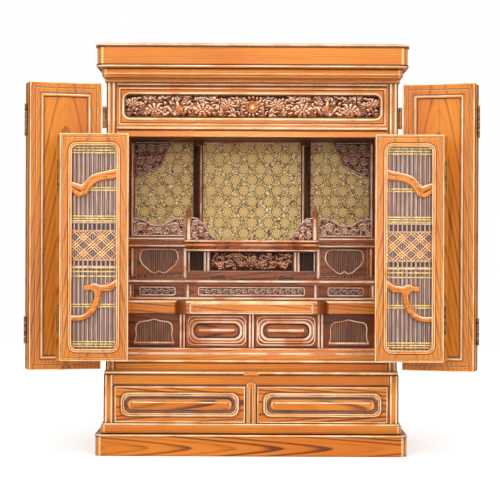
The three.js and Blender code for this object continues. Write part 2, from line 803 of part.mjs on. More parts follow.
function innerFrame(x0, y0, mirrored) {
  const x1 = x0 + innerLeafWidth;
  const y1 = y0 + innerLeafThickness;
  const z0 = innerLeafBottom;
  const z1 = innerLeafTop;
  const stile = 17;
  const slab = backward(roundedRectangle(x0, x1, z0, z1, 0.8, 1), y0, y1, 0.7, 1);
  const hole = backward(
    roundedRectangle(x0 + stile, x1 - stile, z0 + stile, z1 - stile, 8, 4), y0 - 1, y1 + 1,
  );
  const bead = (from, to) => beadRing(
    x0 + stile - 4.6, x1 - stile + 4.6, z0 + stile - 4.6, z1 - stile + 4.6, 12, 3.6,
    from, to, 0.8, 4,
  );
  const place = (fraction) => (mirrored
    ? x1 - stile + 2 - fraction * (innerLeafWidth - 2 * stile + 4)
    : x0 + stile - 2 + fraction * (innerLeafWidth - 2 * stile + 4));
  const y = y0 + 4.6;
  const upper = branch([
    [place(0), y, z0 + 249], [place(0.13), y, z0 + 243], [place(0.26), y, z0 + 240],
    [place(0.42), y, z0 + 256], [place(0.62), y, z0 + 264], [place(0.85), y, z0 + 266],
    [place(1), y, z0 + 268],
  ], 4.4, 3.6, 10);
  const lower = branch([
    [place(0), y, z0 + 61], [place(0.22), y, z0 + 61.5], [place(0.42), y, z0 + 71],
    [place(0.55), y, z0 + 88], [place(0.56), y, z0 + 100], [place(0.44), y, z0 + 106],
    [place(0.3), y, z0 + 105],
  ], 4, 3.4, 11);
  const upperTwig = branch([
    [place(0.5), y, z0 + 100], [place(0.66), y, z0 + 104], [place(0.82), y, z0 + 104],
    [place(1), y, z0 + 113],
  ], 3.8, 3.2, 5);
  return slab.subtract(hole)
    .subtract(joined([
      beadRing(x0 + 4, x1 - 4, z0 + 4, z1 - 4, 0.8, 1.6, y0 - 1, y0 + 1, 0, 1),
    ]))
    .add(joined([bead(y0 - 0, y0 + 2).translate([0, -0.8, 0]), upper, lower, upperTwig]));
}

function innerGrille(x0, y0) {
  const stile = 17;
  const left = x0 + stile;
  const right = x0 + innerLeafWidth - stile;
  const z0 = innerLeafBottom + stile;
  const z1 = innerLeafTop - stile;
  const bandLow = innerLeafBottom + 145;
  const bandHigh = innerLeafBottom + 187;
  const pieces = [];
  const slats = 10;
  const pitch = (right - left) / slats;
  for (let i = 0; i < slats; i += 1) {
    const x = left + pitch * (i + 0.5);
    pieces.push(block(x - 1.1, x + 1.1, y0 + 8.6, y0 + 10.6, z0 + 0.3, bandLow + 0.5));
    pieces.push(block(x - 1.1, x + 1.1, y0 + 8.6, y0 + 10.6, bandHigh - 0.5, z1 - 0.3));
  }
  for (const z of [bandLow, bandHigh]) {
    pieces.push(block(left + 0.3, right - 0.3, y0 + 8.6, y0 + 10.6, z - 1.2, z + 1.2));
  }
  const middle = (bandLow + bandHigh) / 2;
  const quarter = (right - left) / 4;
  const half = (bandHigh - bandLow) / 2 - 0.6;
  for (const start of [left, left + 2 * quarter]) {
    const corners = [
      [start, middle], [start + quarter, middle - half],
      [start + 2 * quarter, middle], [start + quarter, middle + half],
    ];
    for (let i = 0; i < 4; i += 1) {
      const [ax, az] = corners[i];
      const [bx, bz] = corners[(i + 1) % 4];
      const length = Math.hypot(bx - ax, bz - az);
      const across = [(-(bz - az) / length) * 1.3, ((bx - ax) / length) * 1.3];
      pieces.push(backward(shapeOf([
        [ax - across[0], az - across[1]], [bx - across[0], bz - across[1]],
        [bx + across[0], bz + across[1]], [ax + across[0], az + across[1]],
      ]), y0 + 8.6, y0 + 10.6));
    }
  }
  const clip = block(left + 0.3, right - 0.3, y0, y0 + 20, z0 + 0.3, z1 - 0.3);
  const corners = backward(
    roundedRectangle(left + 0.3, right - 0.3, z0 + 0.3, z1 - 0.3, 7.7, 4), y0 + 8, y0 + 11,
  );
  return joined(pieces).intersect(clip).intersect(corners);
}

// ---- hanging the leaves, each group standing on its hinge axis ----
function hingeGroup(parent, x, y, angle) {
  const hinge = new THREE.Group();
  hinge.position.set(x, y, 0);
  hinge.rotation.z = angle * degrees;
  parent.add(hinge);
  return hinge;
}

function hangDoors(side, sideName) {
  const seen = (body) => (side < 0 ? body : body.mirror([1, 0, 0]));
  const first = hingeGroup(group, side * outerAxisX, outerAxisY, side * outerOpenAngle);
  const leafFront = outerLeafFront - outerAxisY;
  addPiece(`outer_leaf_a_${sideName}`, seen(outerLeaf(outerEdgeGap, leafFront)), "outerWood", first);
  const foldX = outerEdgeGap + outerLeafWidth + leafGap / 2;
  const foldY = leafFront - foldClearance;
  const second = hingeGroup(first, -side * foldX, foldY, side * outerFoldAngle);
  addPiece(
    `outer_leaf_b_${sideName}`, seen(outerLeaf(leafGap / 2, foldClearance)), "outerWood", second,
  );

  const third = hingeGroup(group, side * innerAxisX, innerAxisY, side * innerOpenAngle);
  const mirrored = false;
  addPiece(
    `lattice_frame_a_${sideName}`, seen(innerFrame(innerEdgeGap, 0.5, !mirrored)), "outerWood", third,
  );
  addPiece(`lattice_a_${sideName}`, seen(innerGrille(innerEdgeGap, 0.5)), "outerWood", third);
  const turnX = innerEdgeGap + innerLeafWidth + leafGap / 2;
  const turnY = 0.5 + innerLeafThickness + foldClearance;
  const fourth = hingeGroup(third, -side * turnX, turnY, -side * innerOpenAngle);
  const backStart = -foldClearance - innerLeafThickness;
  addPiece(
    `lattice_frame_b_${sideName}`, seen(innerFrame(leafGap / 2, backStart, mirrored)),
    "outerWood", fourth,
  );
  addPiece(`lattice_b_${sideName}`, seen(innerGrille(leafGap / 2, backStart)), "outerWood", fourth);
}

hangDoors(-1, "left");
hangDoors(1, "right");

// ---- brass hinges between the body and the first outer leaves ----
function bodyHinge(z) {
  const barrel = new THREE.CylinderGeometry(2.4, 2.4, 32, 12);
  barrel.rotateX(90 * degrees);
  barrel.translate(-outerAxisX, outerAxisY, z);
  const plate = block(
    -bodyHalfWidth - 1.2, -bodyHalfWidth, outerAxisY - 0.4, outerAxisY + 14, z - 15, z + 15,
  );
  const arm = block(
    -outerAxisX, -bodyHalfWidth, outerAxisY - 0.4, outerAxisY + 0.8, z - 15, z + 15,
  );
  return joined([solid(barrel), plate, arm]);
}

addPair("hinge_upper", bodyHinge(500), "brass");
addPair("hinge_lower", bodyHinge(175), "brass");

export default group;
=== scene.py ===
import json
import math
import random
import bpy
from mathutils import Matrix, Vector


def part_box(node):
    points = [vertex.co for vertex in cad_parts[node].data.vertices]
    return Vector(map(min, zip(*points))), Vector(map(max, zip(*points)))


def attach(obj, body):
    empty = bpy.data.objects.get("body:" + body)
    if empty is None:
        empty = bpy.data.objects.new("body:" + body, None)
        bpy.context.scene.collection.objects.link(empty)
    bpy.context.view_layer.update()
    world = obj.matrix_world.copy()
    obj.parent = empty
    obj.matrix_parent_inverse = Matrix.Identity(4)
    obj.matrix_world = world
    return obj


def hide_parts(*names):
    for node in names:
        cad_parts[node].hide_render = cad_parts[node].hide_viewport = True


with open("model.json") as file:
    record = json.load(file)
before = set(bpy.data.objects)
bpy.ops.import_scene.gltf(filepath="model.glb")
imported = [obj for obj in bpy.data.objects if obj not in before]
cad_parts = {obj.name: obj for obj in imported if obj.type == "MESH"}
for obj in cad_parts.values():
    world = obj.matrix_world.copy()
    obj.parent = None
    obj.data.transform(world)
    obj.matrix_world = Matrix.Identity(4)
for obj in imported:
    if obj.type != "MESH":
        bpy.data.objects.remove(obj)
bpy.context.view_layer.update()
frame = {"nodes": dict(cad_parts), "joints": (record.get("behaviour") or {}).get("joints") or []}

mm = 0.001
sides = ("left", "right")
joints = {joint["name"]: joint for joint in frame["joints"]}
mirror = Matrix.Scale(-1, 4, (1, 0, 0))


studio = {
    "eye": (0.0, -2.575, 0.3034),
    "lens": 117.7,
    "sensor": 36,
    "roll": -0.25,           # degrees
    "aside": 0.0035,         # part of the picture's width
    "floorHalf": 2.6, "floorFade": (0.75, 2.2),
    "skyStrength": 1.0, "roomStrength": 0.12,
    "lamps": [
        # name, place, aim, width, height, watts, spread in degrees
        ("overhead", (0.0, -0.9, 2.0), (0, -0.15, 0.25), 1.6, 0.6, 14, 180),
        ("keyLeft", (-1.7, -1.9, 0.8), (-0.05, 0, 0.32), 0.3, 1.4, 7, 180),
        ("keyRight", (1.7, -1.9, 0.8), (0.05, 0, 0.32), 0.3, 1.4, 6, 180),
        ("front", (0.0, -3.8, 1.3), (0, 0, 0.3), 5.0, 3.2, 145, 180),
        ("altarLamp", (0.0, -2.3, 0.5), (0, 0.14, 0.36), 0.3, 0.2, 0.12, 13),
        ("behind", (0.0, 2.2, 1.6), (0, 0, 0.3), 1.8, 1.2, 26, 180),
    ],
}


def setUpStudio():
    bpy.ops.object.select_all(action="DESELECT")
    bpy.ops.object.camera_add(
        location=studio["eye"], rotation=(math.radians(90), math.radians(studio["roll"]), 0),
    )
    camera = bpy.context.object
    camera.name = "photographersCamera"
    camera.data.lens = studio["lens"]
    camera.data.sensor_width = studio["sensor"]
    camera.data.shift_x = -studio["aside"]
    bpy.context.scene.camera = camera
    bpy.context.scene.view_settings.view_transform = "Standard"

    bpy.ops.mesh.primitive_plane_add(size=2 * studio["floorHalf"], location=(0, 0, -0.0002))
    floor = bpy.context.object
    floor.name = "paleFloor"
    floor.data.materials.append(floorPaint())

    world = bpy.data.worlds.new("softRoom")
    world.use_nodes = True
    world.node_tree.nodes.clear()
    wire = Wire(world.node_tree)
    seen = wire.node("ShaderNodeLightPath", None, None, "Is Camera Ray")
    strength = seen * (studio["skyStrength"] - studio["roomStrength"]) + studio["roomStrength"]
    sky = wire.node("ShaderNodeBackground", None, {"Color": (1, 1, 1, 1), "Strength": strength})
    output = world.node_tree.nodes.new("ShaderNodeOutputWorld")
    world.node_tree.links.new(sky.socket, output.inputs["Surface"])
    bpy.context.scene.world = world

    for name, place, aim, width, height, watts, spread in studio["lamps"]:
        turn = (Vector(aim) - Vector(place)).to_track_quat("-Z", "Y").to_euler()
        bpy.ops.object.light_add(type="AREA", location=place, rotation=turn)
        lamp = bpy.context.object
        lamp.name = name
        lamp.data.shape = "RECTANGLE"
        lamp.data.size = width
        lamp.data.size_y = height
        lamp.data.energy = watts
        lamp.data.spread = math.radians(spread)
    print("studio set up")


def tone(red, green, blue):  # a colour as it is mixed on screen, made linear
    def straight(value):
        value /= 255
        return value / 12.92 if value <= 0.04045 else ((value + 0.055) / 1.055) ** 2.4
    return (straight(red), straight(green), straight(blue), 1)


def operator(operation, swapped=False):  # a sum written between two sockets, or on one
    def apply(self, *others):
        return self.math(operation, *((*others, self) if swapped else (self, *others)))
    return apply


class Wire:
    # one socket of a material, so that sums of sockets can be written as sums
    def __init__(self, tree, socket=None):
        self.tree = tree
        self.socket = socket

    def node(self, kind, settings=None, sockets=None, output=0):
        made = self.tree.nodes.new(kind)
        for name, value in (settings or {}).items():
            setattr(made, name, value)
        for name, value in (sockets or {}).items():
            if isinstance(value, Wire):
                self.tree.links.new(value.socket, made.inputs[name])
            else:
                made.inputs[name].default_value = value
        return Wire(self.tree, made.outputs[output])

    def math(self, operation, *values):
        return self.node("ShaderNodeMath", {"operation": operation}, dict(enumerate(values)))

    __add__ = __radd__ = operator("ADD")
    __sub__ = operator("SUBTRACT")
    __rsub__ = operator("SUBTRACT", swapped=True)
    __mul__ = __rmul__ = operator("MULTIPLY")
    __truediv__ = operator("DIVIDE")
    __pow__ = operator("POWER")
    fraction = operator("FRACT")
    floor = operator("FLOOR")
    size = operator("ABSOLUTE")
    sine = operator("SINE")

    def between(self, low, high):  # 0 below low, 1 above high, eased
        return self.node(
            "ShaderNodeMapRange", {"interpolation_type": "SMOOTHSTEP"},
            {"Value": self, "From Min": low, "From Max": high},
        )

    def place(self, output="Object"):
        return self.node("ShaderNodeTexCoord", None, None, output)

    def parts(self):
        made = self.node("ShaderNodeSeparateXYZ", None, {"Vector": self})
        return [Wire(self.tree, out) for out in made.socket.node.outputs]

    def moved(self, scale=(1, 1, 1), location=(0, 0, 0), rotation=(0, 0, 0)):
        return self.node(
            "ShaderNodeMapping", None,
            {"Vector": self, "Scale": scale, "Location": location, "Rotation": rotation},
        )

    def noise(self, scale, detail=2.0, rough=0.5, output=0):
        return self.node(
            "ShaderNodeTexNoise", None,
            {"Vector": self, "Scale": scale, "Detail": detail, "Roughness": rough}, output,
        )

    def mixed(self, *colours):  # two colours, by this factor; plain triples are colours on a screen
        first, second = (tone(*colour) if isinstance(colour, tuple) else colour for colour in colours)
        return self.node("ShaderNodeMix", {"data_type": "RGBA"}, {"Factor": self, 6: first, 7: second}, 2)

    def cells(self, wander, swirl, scale, randomness):  # curling lines: distance to a line, colour of a cell
        flat = self.moved(scale=(1, 0.001, 1))
        curled = self.node(
            "ShaderNodeVectorMath", {"operation": "MULTIPLY_ADD"},
            {0: flat.noise(wander, 1, 0.5, 1), 1: (swirl, 0, swirl), 2: flat},
        )
        sockets = {"Vector": curled, "Scale": scale, "Randomness": randomness}
        return (
            self.node("ShaderNodeTexVoronoi", {"feature": "DISTANCE_TO_EDGE"}, sockets, "Distance"),
            self.node("ShaderNodeTexVoronoi", {"feature": "F1"}, sockets, "Color"),
        )


def startFinish(name):
    finish = bpy.data.materials.new(name)
    finish.use_nodes = True
    finish.node_tree.nodes.clear()
    return finish, Wire(finish.node_tree)


def closeFinish(finish, wire, colour, rough, normal=None, coat=0.0, coatRough=0.03, shine=0.5, **others):
    sockets = {
        "Base Color": colour, "Roughness": rough, "Coat Weight": coat, "Coat Roughness": coatRough,
        "Specular IOR Level": shine, **others,
    }
    if normal is not None:
        sockets["Normal"] = normal
    surface = wire.node("ShaderNodeBsdfPrincipled", None, sockets)
    output = wire.tree.nodes.new("ShaderNodeOutputMaterial")
    wire.tree.links.new(surface.socket, output.inputs["Surface"])
    return finish


finishes = {}


def finishFor(name, make, *values):  # made once, then shared
    if name not in finishes:
        finishes[name] = make(name, *values)
    return finishes[name]


def floorPaint():
    # a pale sweep that melts into the background far from the cabinet
    finish, wire = startFinish("floor_paint")
    point = wire.place()
    colour = point.noise(0.6, 1).mixed((250, 250, 250), (246, 246, 246))
    away = wire.node("ShaderNodeVectorMath", {"operation": "LENGTH"}, {0: point}, "Value")
    away = away.between(*studio["floorFade"])
    seen = wire.node("ShaderNodeLightPath", None, None, "Is Camera Ray")
    glow = ((away * 0.5 + 0.5) * seen).mixed((0, 0, 0), (255, 255, 255))
    emission = {"Emission Color": glow, "Emission Strength": 1.0}
    return closeFinish(finish, wire, colour, 0.9, shine=0.1, **emission)


# zelkova outside, dark lacquered wood inside
# in both looks the edge colour is a painted highlight along edges, the crevice colour painted shade in
# corners, and glow the share of painted highlight on rounded corners
outerLook = {
    "light": (216, 130, 36), "middle": (200, 110, 28), "dark": (108, 48, 16),
    "edge": (255, 218, 166), "edgeShare": 0.85, "bevel": 1.2 * mm, "crevice": (84, 34, 12),
    "pitch": 5.0 * mm, "taper": 0.07, "warp": 1.6, "ringShare": 0.75,
    "rough": 0.32, "coat": 0.06, "shine": 0.2, "glow": 0.55,
}
innerLook = {
    "light": (166, 86, 32), "middle": (118, 54, 16), "dark": (44, 15, 4),
    "edge": (255, 200, 150), "edgeShare": 0.85, "bevel": 0.9 * mm, "crevice": (30, 9, 4),
    "pitch": 4.0 * mm, "taper": 0.05, "warp": 1.4, "ringShare": 0.75,
    "rough": 0.3, "coat": 0.0, "shine": 0.18, "glow": 0.0,
}


def easedEdges(wire, radius, bump=None):  # a softened normal, and how near an edge a point is, the mask for painted edge highlights
    rounded = wire.node("ShaderNodeBevel", {"samples": 4}, {"Radius": radius})
    flat = wire.node("ShaderNodeNewGeometry", None, None, "Normal")
    likeness = wire.node(
        "ShaderNodeVectorMath", {"operation": "DOT_PRODUCT"}, {0: rounded, 1: flat}, "Value",
    )
    edge = (1 - likeness).between(0.004, 0.12)
    if bump is not None:
        rounded = wire.node(
            "ShaderNodeBump", None,
            {"Height": bump, "Strength": 0.15, "Distance": 0.3 * mm, "Normal": rounded},
        )
    return rounded, edge


def crevices(wire, reach, full=0.9):  # 1 deep in a corner, 0 on an open face: where painted shade goes
    openness = wire.node("ShaderNodeAmbientOcclusion", {"samples": 6}, {"Distance": reach}, "AO")
    return (1 - openness.between(0.42, 0.8)) * full


def lacqueredWood(name, look, along="Z", heart=(0.0, 0.03), offset=0.0, leaf=None, stain=None):
    # solid timber: rings round a slanting heart line, cut by whatever face is seen
    def drawnOut(share):
        return (share, 1, 1) if along == "X" else (1, 1, share)

    finish, wire = startFinish(name)
    point = wire.place()
    if leaf is not None:
        back = leaf.inverted()
        point = point.moved(location=back.to_translation(), rotation=back.to_euler())
    x, y, z = point.parts()
    length, side, deep = (x, z, y) if along == "X" else (z, x, y)
    sway = point.moved(drawnOut(0.16), (offset, offset, offset)).noise(9, 1)
    side = side - heart[0]
    deep = deep - heart[1]
    reach = (side * side + deep * deep) ** 0.5
    rings = (reach + length * look["taper"]) / look["pitch"] + sway * look["warp"]
    phase = rings.fraction()
    boldness = wire.node(
        "ShaderNodeTexWhiteNoise", {"noise_dimensions": "1D"}, {"W": rings.floor()}, "Value",
    )
    late = phase.between(0.1, 0.86) ** 2.2 - phase.between(0.86, 1.0)
    fibre = point.moved(drawnOut(0.03), (offset, 0, 0)).noise(700, 2, 0.6)
    patch = point.moved(drawnOut(0.16), (0, offset, 0)).noise(22, 3)
    streaks = point.moved(drawnOut(0.03), (0, 0, offset)).noise(240, 2).between(0.5, 0.8)
    streak = late * (0.25 + boldness * 0.85) * look["ringShare"] + streaks * 0.3 + (fibre - 0.5) * 0.3
    ground = patch.between(0.3, 0.7).mixed(look["light"], look["middle"])
    colour = streak.between(-0.05, 1.1).mixed(ground, look["dark"])
    # painted shade in corners and creases
    colour = crevices(wire, 5 * mm).mixed(colour, look["crevice"])
    normal, edge = easedEdges(wire, look["bevel"], fibre)
    # a painted highlight along every edge
    colour = (edge * look["edgeShare"]).mixed(colour, look["edge"])
    if stain:  # darker bands, alike on both sides of the middle
        low, high = stain
        ease = 2 * mm
        stained = x.size().between(low - ease, low + ease) - x.size().between(high - ease, high + ease)
        colour = (stained * 0.85).mixed(colour, (104, 44, 18))
    if leaf is None and look["glow"]:  # rounded corners get a painted highlight
        across, forward = wire.place("Normal").parts()[:2]
        turned = (across * forward).size()
        cornerHighlight = (turned.between(0.16, 0.3) - turned.between(0.42, 0.5)) * look["glow"]
        colour = cornerHighlight.mixed(colour, look["edge"])
    return closeFinish(
        finish, wire, colour, look["rough"] + fibre * 0.12, normal, look["coat"], 0.08, look["shine"],
    )


brocadeLook = {
    "across": 27.6, "up": 17.9,      # millimetres from flower to flower
    "gold": (255, 222, 150), "straw": (255, 238, 186), "pale": (255, 224, 156),
    "olive": (236, 198, 128), "line": (66, 32, 12), "thread": 0.55,
}


def brocadeCloth(name):
    # rosettes in staggered rows, with small leaves and scrolls between them
    look = brocadeLook
    finish, wire = startFinish(name)
    point = wire.place()
    x, z = point.parts()[::2]
    lift = z / (look["up"] * mm)
    column = x / (look["across"] * mm) + (lift.floor() * 0.5).fraction()
    u = (column.fraction() - 0.5) * look["across"]
    v = (lift.fraction() - 0.5) * look["up"]
    r = (u * u + v * v) ** 0.5
    turn = v.math("ARCTAN2", v, u) * 8
    petals = turn.math("COSINE", turn)
    rim = r - petals * 0.35
    flower = 1 - rim.between(8.0, 8.3)
    ring = rim.between(4.6, 4.9) - rim.between(5.4, 5.8)
    heartRing = r.between(1.6, 1.9) - r.between(2.4, 2.8)
    spoke = (1 - petals.between(-0.95, -0.6)) * (r.between(5.2, 5.6) - r.between(7.4, 7.8))
    outline = rim.between(7.9, 8.2) - rim.between(8.8, 9.3)
    vine, cell = point.cells(160, 0.004, 205.0, 0.8)
    pick = cell.parts()[0]
    leaves = pick.between(0.35, 0.6).mixed(look["olive"], look["pale"])
    leaves = pick.between(0.72, 0.8).mixed(leaves, look["straw"])
    ground = ((1 - vine.between(0.04, 0.1)) * 0.8).mixed(leaves, look["line"])
    rosette = ((ring + heartRing + spoke) * 0.6).mixed(look["gold"], look["line"])
    colour = flower.mixed(ground, rosette)
    colour = (outline * 0.9).mixed(colour, look["line"])
    colour = (point.noise(7, 3).between(0.35, 0.7) * 0.22).mixed(colour, look["olive"])
    weave = (x * (2 * math.pi / (look["thread"] * mm))).sine()
    raised = flower * 0.5 + vine * 2 + weave * 0.08
    normal = wire.node("ShaderNodeBump", None, {"Height": raised, "Strength": 0.12, "Distance": 0.4 * mm})
    return closeFinish(finish, wire, colour, 0.6 + flower * 0.1, normal, shine=0.15)


def agedBrass(name):
    finish, wire = startFinish(name)
    cloud = wire.place().noise(140, 3)
    colour = cloud.between(0.35, 0.7).mixed((150, 112, 66), (82, 54, 28))
    normal, edge = easedEdges(wire, 0.5 * mm)
    # a painted highlight along the edges
    colour = (edge * 0.4).mixed(colour, (232, 206, 160))
    return closeFinish(finish, wire, colour, 0.25 + cloud * 0.25, normal, Metallic=0.9)


def leafPlace(kind, fold, side="left"):  # where the hinge axis of a leaf stands at rest
    door = joints[kind + "_door_left"]
    spin = -math.radians(door["range_deg"][1])
    place = Matrix.Translation((*door["pos_m"][:2], 0)) @ Matrix.Rotation(spin, 4, "Z")
    if fold:
        joint = joints[kind + "_fold_left"]
        spin += math.radians(joint["range_deg"][1]) * (1 if kind == "lattice" else -1)
        place = Matrix.Translation((*joint["pos_m"][:2], 0)) @ Matrix.Rotation(spin, 4, "Z")
    return mirror @ place @ mirror if side == "right" else place


timber = {
    "boards": ("plinth_frame", "plinth_moulding", "drawer_deck", "sill_board", "sill_rail", "header",
               "header_moulding", "cornice_lower", "cornice_upper", "drawer_left", "drawer_right",
               "plinth_bottom", "drawer_divider"),
    "boardLook": dict(outerLook, taper=0.02, warp=0.9, pitch=3.6 * mm, ringShare=0.5),
    "figuredLook": dict(outerLook, ringShare=1.15),
    "hearts": {"plinth_frame": (0.012, -0.168), "drawer_left": (0.078, -0.150),
               "drawer_right": (0.070, -0.151)},
    "leaves": {"outer": "outer_leaf_", "lattice": "lattice_frame_"},
    "leafLook": dict(outerLook, taper=0.16, pitch=5.6 * mm, warp=1.8, ringShare=0.6),
    "plateLook": {"dark": (34, 12, 8), "middle": (110, 52, 28), "light": (176, 96, 56),
                  "edge": (255, 214, 184)},
    "plates": {"post_and_bracket_": 0.1945, "side_railing_": 0.3, "newel_and_steps_": 0.0955},
    "railLook": dict(outerLook, ringShare=0.9, glow=0),
    "stepLook": dict(outerLook, light=(244, 158, 66), middle=(222, 130, 46),
                     crevice=(150, 74, 30)),
    "columnLook": dict(innerLook, light=(96, 42, 18), middle=(66, 27, 10), dark=(30, 10, 3)),
    "boxLook": dict(innerLook, light=(128, 62, 26), middle=(92, 42, 15)),
}


def dressCabinet():
    chosen = {"brocade_panel": finishFor("brocade_cloth", brocadeCloth)}

    def cut(node, look, along, heart, offset, leaf=None, stain=None):
        chosen[node] = lacqueredWood("timber_" + node, look, along, heart, offset, leaf, stain)

    for index, node in enumerate(timber["boards"]):
        low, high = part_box(node)
        heart = timber["hearts"].get(node, ((low.z + high.z) / 2 + 0.11, low.y))
        look = timber["figuredLook" if node in timber["hearts"] else "boardLook"]
        cut(node, look, "X", heart, index * 0.37)
    cut("projecting_rail", timber["railLook"], "X", (0.2, -0.1), 0.9, stain=(0.0985, 0.116))
    cut("bottom_step", timber["stepLook"], "X", (0.25, -0.1), 0.6)
    cut("back_panel", outerLook, "Z", (0.05, 0.12), 0.2)
    for side in sides:
        for node in ("side_board_" + side, "front_post_" + side):
            low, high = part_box(node)
            cut(node, outerLook, "Z", ((low.x + high.x) / 2, low.y * 0.3), 0.7)
        middle = 0.0555 if side == "left" else -0.0555
        for kind, node in timber["leaves"].items():
            for fold, letter in enumerate("ab"):
                cut(node + letter + "_" + side, timber["leafLook"], "Z", (middle, 0.012), 1.1 + fold * 0.6,
                    leafPlace(kind, bool(fold), side))
        cut("column_" + side, timber["columnLook"], "Z", (0.09, 0.15), 0.3)
        cut("lower_box_" + side, timber["boxLook"], "X", (0.18, -0.05), 0.5)
        for end in ("upper", "lower"):
            chosen["hinge_" + end + "_" + side] = finishFor("aged_brass", agedBrass)
        for node, plainBeyond in timber["plates"].items():
            chosen[node + side] = fretted("fretted_" + node + side, timber["plateLook"], plainBeyond)
    for node, piece in frame["nodes"].items():
        if node not in chosen:
            low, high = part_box(node)
            size = high - low
            along = "X" if size.x > size.z else "Z"
            across = (low.z + high.z) / 2 if along == "X" else (low.x + high.x) / 2
            cut(node, innerLook, along, (across, low.y + 0.03), 0.2)
        piece.data.materials.clear()
        piece.data.materials.append(chosen[node])
    print("timber and cloth finished")


def choose(*pieces):  # select these alone; the first is the active one
    bpy.ops.object.select_all(action="DESELECT")
    for piece in pieces:
        piece.select_set(True)
    if pieces:
        bpy.context.view_layer.objects.active = pieces[0]


def addBlock(x0, x1, y0, y1, z0, z1, turn=0.0):  # millimetres; turn about the block's own depth
    choose()
    bpy.ops.mesh.primitive_cube_add(
        size=1, location=((x0 + x1) / 2 * mm, (y0 + y1) / 2 * mm, (z0 + z1) / 2 * mm),
        rotation=(0, turn, 0), scale=((x1 - x0) * mm, (y1 - y0) * mm, (z1 - z0) * mm),
    )
    return bpy.context.object


def joinParts(parts):
    choose(*parts)
    if len(parts) > 1:
        bpy.ops.object.join()
    bpy.ops.object.transform_apply(location=True, rotation=True, scale=True)
    return bpy.context.object


def easeEdges(piece, width, segments=1):
    choose(piece)
    bpy.ops.object.modifier_add(type="BEVEL")
    bevel = piece.modifiers[-1]
    bevel.width = width * mm
    bevel.segments = segments
    bevel.limit_method = "ANGLE"
    bevel.angle_limit = math.radians(35)
    bpy.ops.object.modifier_apply(modifier=bevel.name)
    return piece


def addStrands(strands, facets=2, smoothness=3, kind="NURBS"):
    # round rods that swell and taper; a strand is a list of (x, y, z, radius) in millimetres
    choose()
    bpy.ops.curve.primitive_bezier_curve_add(location=(0, 0, 0))
    curve = bpy.context.object.data
    curve.splines.clear()
    curve.dimensions = "3D"
    curve.bevel_depth = mm
    curve.bevel_resolution = facets
    curve.use_fill_caps = True
    curve.resolution_u = smoothness
    for strand in strands:
        spline = curve.splines.new(kind)
        spline.points.add(len(strand) - 1)
        for point, (x, y, z, radius) in zip(spline.points, strand):
            point.co = (x * mm, y * mm, z * mm, 1)
            point.radius = radius
        if kind == "NURBS":
            spline.order_u = 3
            spline.use_endpoint_u = True
    bpy.ops.object.convert(target="MESH")
    return bpy.context.object


def addBeads(strands, facets=2):  # rods that follow their points exactly
    return addStrands(strands, facets, kind="POLY")


def flatten(piece, share, y):  # press the carving back against the plane y
    back = Matrix.Translation((0, y * mm, 0))
    piece.data.transform(back @ Matrix.Scale(share, 4, (0, 1, 0)) @ back.inverted())
    return piece


def shifted(piece, place):  # move the mesh itself; a mirrored one is turned right side out
    piece.data.transform(place)
    if place.determinant() < 0:
        piece.data.flip_normals()
    return piece


def copied(piece):
    choose(piece)
    bpy.ops.object.duplicate()
    return bpy.context.object


def settle(piece, name, finish, body="cabinet", slot="altar_wood", angle=40):
    choose(piece)
    piece.name = name
    piece.data.name = name
    piece.data.materials.clear()
    piece.data.materials.append(finish)
    bpy.ops.object.shade_smooth_by_angle(angle=math.radians(angle))
    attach(piece, body)
    return piece


def settlePair(piece, name, finish, body="cabinet", slot="altar_wood"):
    # a left piece and its mirror image on the right
    pair = (piece, shifted(copied(piece), mirror))
    for side, half in zip(sides, pair):
        settle(half, name + "_" + side, finish, body.replace("SIDE", side), slot)
    return pair


# the carver's strokes, in millimetres on a plane that looks toward -Y
def curl(x, z, y, radius, start, turns, thick, hand=1):
    steps = max(6, int(abs(turns) * 11))
    strand = []
    for i in range(steps + 1):
        share = i / steps
        angle = math.radians(start) + hand * turns * 2 * math.pi * share
        reach = radius * (1 - 0.82 * share)
        strand.append((
            x + reach * math.cos(angle), y - 0.6 * share, z + reach * math.sin(angle),
            thick * (0.45 + 0.75 * math.sin(math.pi * min(1, 0.25 + share * 0.75))),
        ))
    strand[-1] = (*strand[-1][:3], thick * 1.25)
    return strand


def blade(x, z, y, length, width, angle, bend=0.0, rise=0.8):
    # a leaf or petal from its foot at x, z
    strand = []
    for share, swell in ((0, 0.2), (0.18, 0.7), (0.45, 1), (0.75, 0.72), (1, 0.06)):
        turn = math.radians(angle + bend * share)
        strand.append((
            x + length * share * math.cos(turn), y - rise * math.sin(math.pi * share),
            z + length * share * math.sin(turn), width * swell,
        ))
    return strand


def blossom(x, z, y, size, petals=9, squat=0.86, tilt=0):
    strands = []
    for ring, (inner, outer, width, lift) in enumerate((
        (0.45, 1.0, 0.24, 0.0), (0.22, 0.72, 0.2, 1.3), (0.04, 0.44, 0.15, 2.5),
    )):
        count = petals - 2 * ring
        for i in range(count):
            angle = 360 * (i + 0.5 * ring) / count + tilt
            strand = blade(
                x + inner * size * math.cos(math.radians(angle)),
                z + inner * size * math.sin(math.radians(angle)) * squat,
                y - lift, (outer - inner) * size, width * size, angle, 10, 1.4,
            )
            strands.append([
                (px, py, z + (pz - z) * (squat if ring == 0 else 1), radius) for px, py, pz, radius in strand
            ])
    strands.append([(x, y - 2, z, 0.14 * size), (x, y - 3.4, z, 0.12 * size), (x, y - 4.2, z, 0.03 * size)])
    return strands


def spray(x, z, y, size, angle, leaves=3, spread=32, width=0.17):
    turns = [i - (leaves - 1) / 2 for i in range(leaves)]
    return [
        blade(x, z, y, size * (1 - 0.16 * abs(turn)), size * width, angle + spread * turn, 8 * turn)
        for turn in turns
    ]


